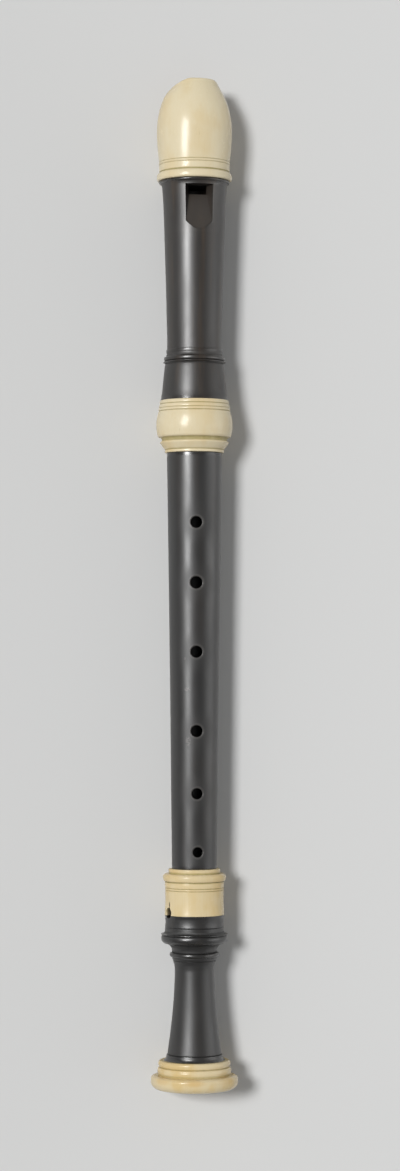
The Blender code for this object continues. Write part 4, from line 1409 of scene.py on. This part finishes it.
class RECORDER_OT_lappings(bpy.types.Operator):
    """Wind the waxed thread on both tenons"""

    bl_idname = "recorder.lappings"
    bl_label = "Tenon Lappings"

    def execute(self, context):
        tenons = {"upper_tenon_lapping": UPPER_TENON_RADIUS, "lower_tenon_lapping": LOWER_TENON_RADIUS}
        for node, tenon in tenons.items():
            low, high = height_of(node, 0), height_of(node, 1)
            core = Outline(tenon - CORE_INSET, high)
            core.down_to(low).bore().across(tenon - LAPPING_DEPTH + RUNNING_GAP)
            core.to(tenon - LAPPING_DEPTH + RUNNING_GAP, high)
            sleeve = turned(f"{node}_sleeve", core)
            settle(sleeve, material("waxed_thread", waxed_thread), node)
            winding = self.wind(f"{node}_thread", tenon - THREAD_DIAMETER / 2, low, high)
            settle(winding, material("waxed_thread", waxed_thread), node, unevenness=0.00002)
        return {"FINISHED"}

    def wind(self, name, radius, low, high):
        """One thread wound up the tenon, each turn against the last."""
        half = THREAD_DIAMETER / 2
        turns = (high - low - THREAD_DIAMETER) / THREAD_DIAMETER
        count = int(turns * THREAD_POINTS)
        curve = bpy.data.curves.new(name, "CURVE")
        curve.dimensions = "3D"
        curve.bevel_depth = half
        curve.bevel_resolution = 1
        curve.use_fill_caps = True
        spline = curve.splines.new("POLY")
        spline.points.add(count)
        for index, point in enumerate(spline.points):
            turn = 2 * math.pi * turns * index / count
            height = low + half + (high - low - THREAD_DIAMETER) * index / count
            point.co = (radius * math.cos(turn), radius * math.sin(turn), height, 1.0)
        wound = add_object("winding", curve)
        mesh = evaluated_mesh(wound)
        bpy.data.objects.remove(wound, do_unlink=True)
        return add_object(name, mesh)


class RECORDER_OT_head(bpy.types.Operator):
    """Turn the head's wood and cut its window, ramp, lip and windway"""

    bl_idname = "recorder.head"
    bl_label = "Head Joint"

    def execute(self, context):
        outline = head_wood_outline()
        piece = turned("head_joint", outline)
        for shape in (*window_cuts(), windway_cut()):
            cut(piece, shape)
        settle(piece, blackwood(), "head_body", outline, turn=HEAD_TURN)
        return {"FINISHED"}


class RECORDER_OT_beak(bpy.types.Operator):
    """Turn the ivory beak, cut its windway and hollow its back"""

    bl_idname = "recorder.beak"
    bl_label = "Ivory Beak"

    def execute(self, context):
        outline = beak_outline()
        piece = turned("ivory_beak", outline)
        cut(piece, windway_cut())
        cut(piece, beak_cut())
        settle(piece, ivory("beak_ivory"), "beak_cap", outline, turn=HEAD_TURN)
        return {"FINISHED"}


class RECORDER_OT_block(bpy.types.Operator):
    """Make the cedar block with its windway floor"""

    bl_idname = "recorder.block"
    bl_label = "Cedar Block"

    def execute(self, context):
        outline = Outline(0.0, BLOCK_END).across(BLOCK_RADIUS).down_to(WINDOW_TOP + BLOCK_CHAMFER)
        outline.down(BLOCK_CHAMFER, BLOCK_RADIUS - BLOCK_CHAMFER).across(0.0)
        piece = self.plug(outline)
        cut(piece, beak_cut())
        ends = (WINDOW_TOP - CUTTER_REACH, BEAK_TIP + CUTTER_REACH)
        beyond = always(2 * BLOCK_RADIUS)
        cut(piece, wedge(*ends, always(WINDWAY_FLOOR), beyond, beyond))
        settle(piece, material("block_cedar", block_cedar), "block", turn=HEAD_TURN)
        return {"FINISHED"}

    def plug(self, outline):
        """Turned plug, closed at the axis."""
        shape = bmesh.new()
        turns = [2 * math.pi * index / PLUG_FACETS for index in range(PLUG_FACETS)]
        directions = [(math.cos(turn), math.sin(turn)) for turn in turns]
        loops = []
        for radius, height in outline.points[1:-1]:
            loops.append([shape.verts.new((radius * x, radius * y, height)) for x, y in directions])
        skin(shape, loops[::-1])
        return add_object("cedar_block", mesh_from(shape, "cedar_block"))


class RECORDER_OT_foot(bpy.types.Operator):
    """Turn the foot's wood and bore the little finger's hole"""

    bl_idname = "recorder.foot"
    bl_label = "Foot Joint"

    def execute(self, context):
        outline = foot_wood_outline()
        piece = turned("foot_joint", outline)
        cut(piece, ringed_hole(*LITTLE_FINGER_HOLE, LITTLE_FINGER_SURFACE, FOOT_BORE_TOP_RADIUS))
        settle(piece, blackwood(), "foot_body", outline)
        return {"FINISHED"}


class RECORDER_OT_mounts(bpy.types.Operator):
    """Turn the ivory rings of the head and the foot"""

    bl_idname = "recorder.mounts"
    bl_label = "Ivory Mounts"

    def execute(self, context):
        outline = head_ring_outline()
        ring = turned("head_ring", outline)
        settle(ring, ivory("ring_ivory"), "head_socket_ring", outline)

        outline = foot_ring_outline()
        ring = turned("foot_ring", outline)
        cut(ring, ringed_hole(*LITTLE_FINGER_HOLE, LITTLE_FINGER_SURFACE, FOOT_BORE_TOP_RADIUS))
        cut(ring, self.crack())
        settle(ring, ivory("foot_ivory"), "foot_socket_ring", outline)

        outline = end_ring_outline()
        ring = turned("end_ring", outline)
        settle(ring, ivory("end_ivory"), "foot_end_ring", outline)
        return {"FINISHED"}

    def crack(self):
        """Narrow chip that runs up from the hole and closes to nothing."""
        height, radius, degrees = LITTLE_FINGER_HOLE
        shape = bmesh.new()
        bmesh.ops.create_cone(
            shape,
            cap_ends=True,
            segments=24,
            radius1=CRACK_WIDTH / 2,
            radius2=CRACK_POINT,
            depth=CRACK_LENGTH,
        )
        middle = height + radius * 0.8 + CRACK_LENGTH / 2
        place = (
            Matrix.Rotation(math.radians(degrees + CRACK_SIDEWAYS), 4, "Z")
            @ Matrix.Translation((0.0, -CRACK_RADIUS, middle))
            @ Matrix.Rotation(CRACK_LEAN, 4, "Y")
            @ Matrix.Diagonal((1.0, CRACK_DEPTH / CRACK_WIDTH * 2, 1.0, 1.0))
        )
        bmesh.ops.transform(shape, matrix=place, verts=shape.verts)
        return shape


class RECORDER_OT_stage(bpy.types.Operator):
    """Set the pale table, the lights and the camera above it"""

    bl_idname = "recorder.stage"
    bl_label = "Table and Camera"

    def execute(self, context):
        studio = context.scene.recorder_studio
        self.add_table(studio)
        self.add_camera(context, studio)
        for name, setting in LAMPS.items():
            self.add_lamp(context, name, getattr(studio, f"{name}_power"), *setting)
        self.add_room(context, studio)
        context.scene.view_settings.view_transform = "Standard"
        return {"FINISHED"}

    def add_table(self, studio):
        """Table top, large enough for every view, its colour painted paler towards the right and the foot as
        painted light.
        """
        shape = bmesh.new()
        bmesh.ops.create_grid(shape, x_segments=1, y_segments=1, size=TABLE_SIZE)
        mesh = mesh_from(shape, "table_top")
        table = add_object("table_top", mesh)
        table.location.z = -TABLE_DROP
        shop = Shop("table_paint", TABLE_ROUGHNESS)
        clouds = shop.noise((3.0, 3.0, 3.0), detail=2.0, roughness=0.5) * 0.1
        # Painted light: paler towards the right and towards the foot, with faint random clouds
        painted_light = (shop.side * 3.0 - shop.along * 0.5 + clouds + 0.45).clamped()
        lit_table_colour = [channel * TABLE_PAINTED_LIGHT for channel in studio.table]
        colour = shop.mix(painted_light, studio.table, lit_table_colour)
        mesh.materials.append(shop.finish(Base_Color=colour, Specular_IOR_Level=TABLE_SPECULAR))

    def add_camera(self, context, studio):
        """Camera square to the table's length, rolled round to the left of straight above."""
        camera = bpy.data.objects.new("camera", bpy.data.cameras.new("camera"))
        context.scene.collection.objects.link(camera)
        context.scene.camera = camera
        camera.data.lens = studio.lens
        camera.data.sensor_width = CAMERA_SENSOR
        camera.data.clip_start = 0.01
        camera.data.shift_y = CAMERA_SHIFT
        right = Vector((math.cos(studio.camera_roll), 0.0, math.sin(studio.camera_roll)))
        back = Vector((-math.sin(studio.camera_roll), 0.0, math.cos(studio.camera_roll)))
        place = Vector((0.0, CAMERA_ALONG, BORE_AXIS)) + back * studio.camera_distance
        place += right * CAMERA_ASIDE
        camera.matrix_world = Matrix((
            (right.x, 0.0, back.x, place.x),
            (right.y, 1.0, back.y, place.y),
            (right.z, 0.0, back.z, place.z),
            (0.0, 0.0, 0.0, 1.0),
        ))

    def add_lamp(self, context, name, power, size, degrees, towards_beak, distance, unseen_by):
        """Soft lamp aimed at the recorder, by its angle from straight above and its place along it."""
        light = bpy.data.lights.new(name, "AREA")
        light.shape = "RECTANGLE"
        light.size, light.size_y = size
        light.energy = power
        lamp = bpy.data.objects.new(name, light)
        context.scene.collection.objects.link(lamp)
        setattr(lamp, f"visible_{unseen_by}", False)
        aim = Vector((0.0, 0.0, BORE_AXIS))
        turn = math.radians(degrees)
        lamp.location = aim + Vector((-math.sin(turn) * distance, towards_beak, math.cos(turn) * distance))
        lamp.rotation_euler = (aim - lamp.location).to_track_quat("-Z", "Y").to_euler()

    def add_room(self, context, studio):
        """Light of a pale room, brighter low down on the right."""
        world = bpy.data.worlds.new("room")
        context.scene.world = world
        world.use_nodes = True
        bench = Bench(world.node_tree)
        way = bench.node("ShaderNodeTexCoord", {}, {}, "Generated")
        to_right = bench.node("ShaderNodeSeparateXYZ", {}, {0: way}).between(ROOM_START, 1.0)
        background = world.node_tree.nodes["Background"]
        bench.feed(background.inputs["Color"], ROOM_TINT)
        bench.feed(background.inputs["Strength"], to_right * (studio.ambient * ROOM_RISE) + studio.ambient)


class RECORDER_PT_panel(bpy.types.Panel):
    """Sidebar list of the recorder's pieces and settings"""

    bl_idname = "RECORDER_PT_panel"
    bl_label = "Alto Recorder"
    bl_space_type = "VIEW_3D"
    bl_region_type = "UI"
    bl_category = "Recorder"

    def draw(self, context):
        for operator in OPERATORS:
            self.layout.operator(operator.bl_idname)
        for settings in SETTINGS:
            group = getattr(context.scene, settings)
            box = self.layout.box()
            for name in group.bl_rna.properties.keys():
                if name not in ("rna_type", "name"):
                    box.prop(group, name)


OPERATORS = (
    RECORDER_OT_stage,
    RECORDER_OT_middle,
    RECORDER_OT_lappings,
    RECORDER_OT_head,
    RECORDER_OT_beak,
    RECORDER_OT_block,
    RECORDER_OT_foot,
    RECORDER_OT_mounts,
)
SETTINGS = {
    "recorder_turning": RecorderTurning,
    "recorder_finish": RecorderFinish,
    "recorder_studio": RecorderStudio,
}
CLASSES = (*SETTINGS.values(), *OPERATORS, RECORDER_PT_panel)


def register():
    for item in CLASSES:
        bpy.utils.register_class(item)
    for name, group in SETTINGS.items():
        setattr(bpy.types.Scene, name, PointerProperty(type=group))


def unregister():
    for name in SETTINGS:
        delattr(bpy.types.Scene, name)
    for item in reversed(CLASSES):
        bpy.utils.unregister_class(item)


def main():
    """Builds every piece and the stage."""
    register()
    bpy.ops.recorder.stage()
    bpy.ops.recorder.middle()
    bpy.ops.recorder.lappings()
    bpy.ops.recorder.head()
    bpy.ops.recorder.beak()
    bpy.ops.recorder.block()
    bpy.ops.recorder.foot()
    bpy.ops.recorder.mounts()


if __name__ == "__main__":
    main()
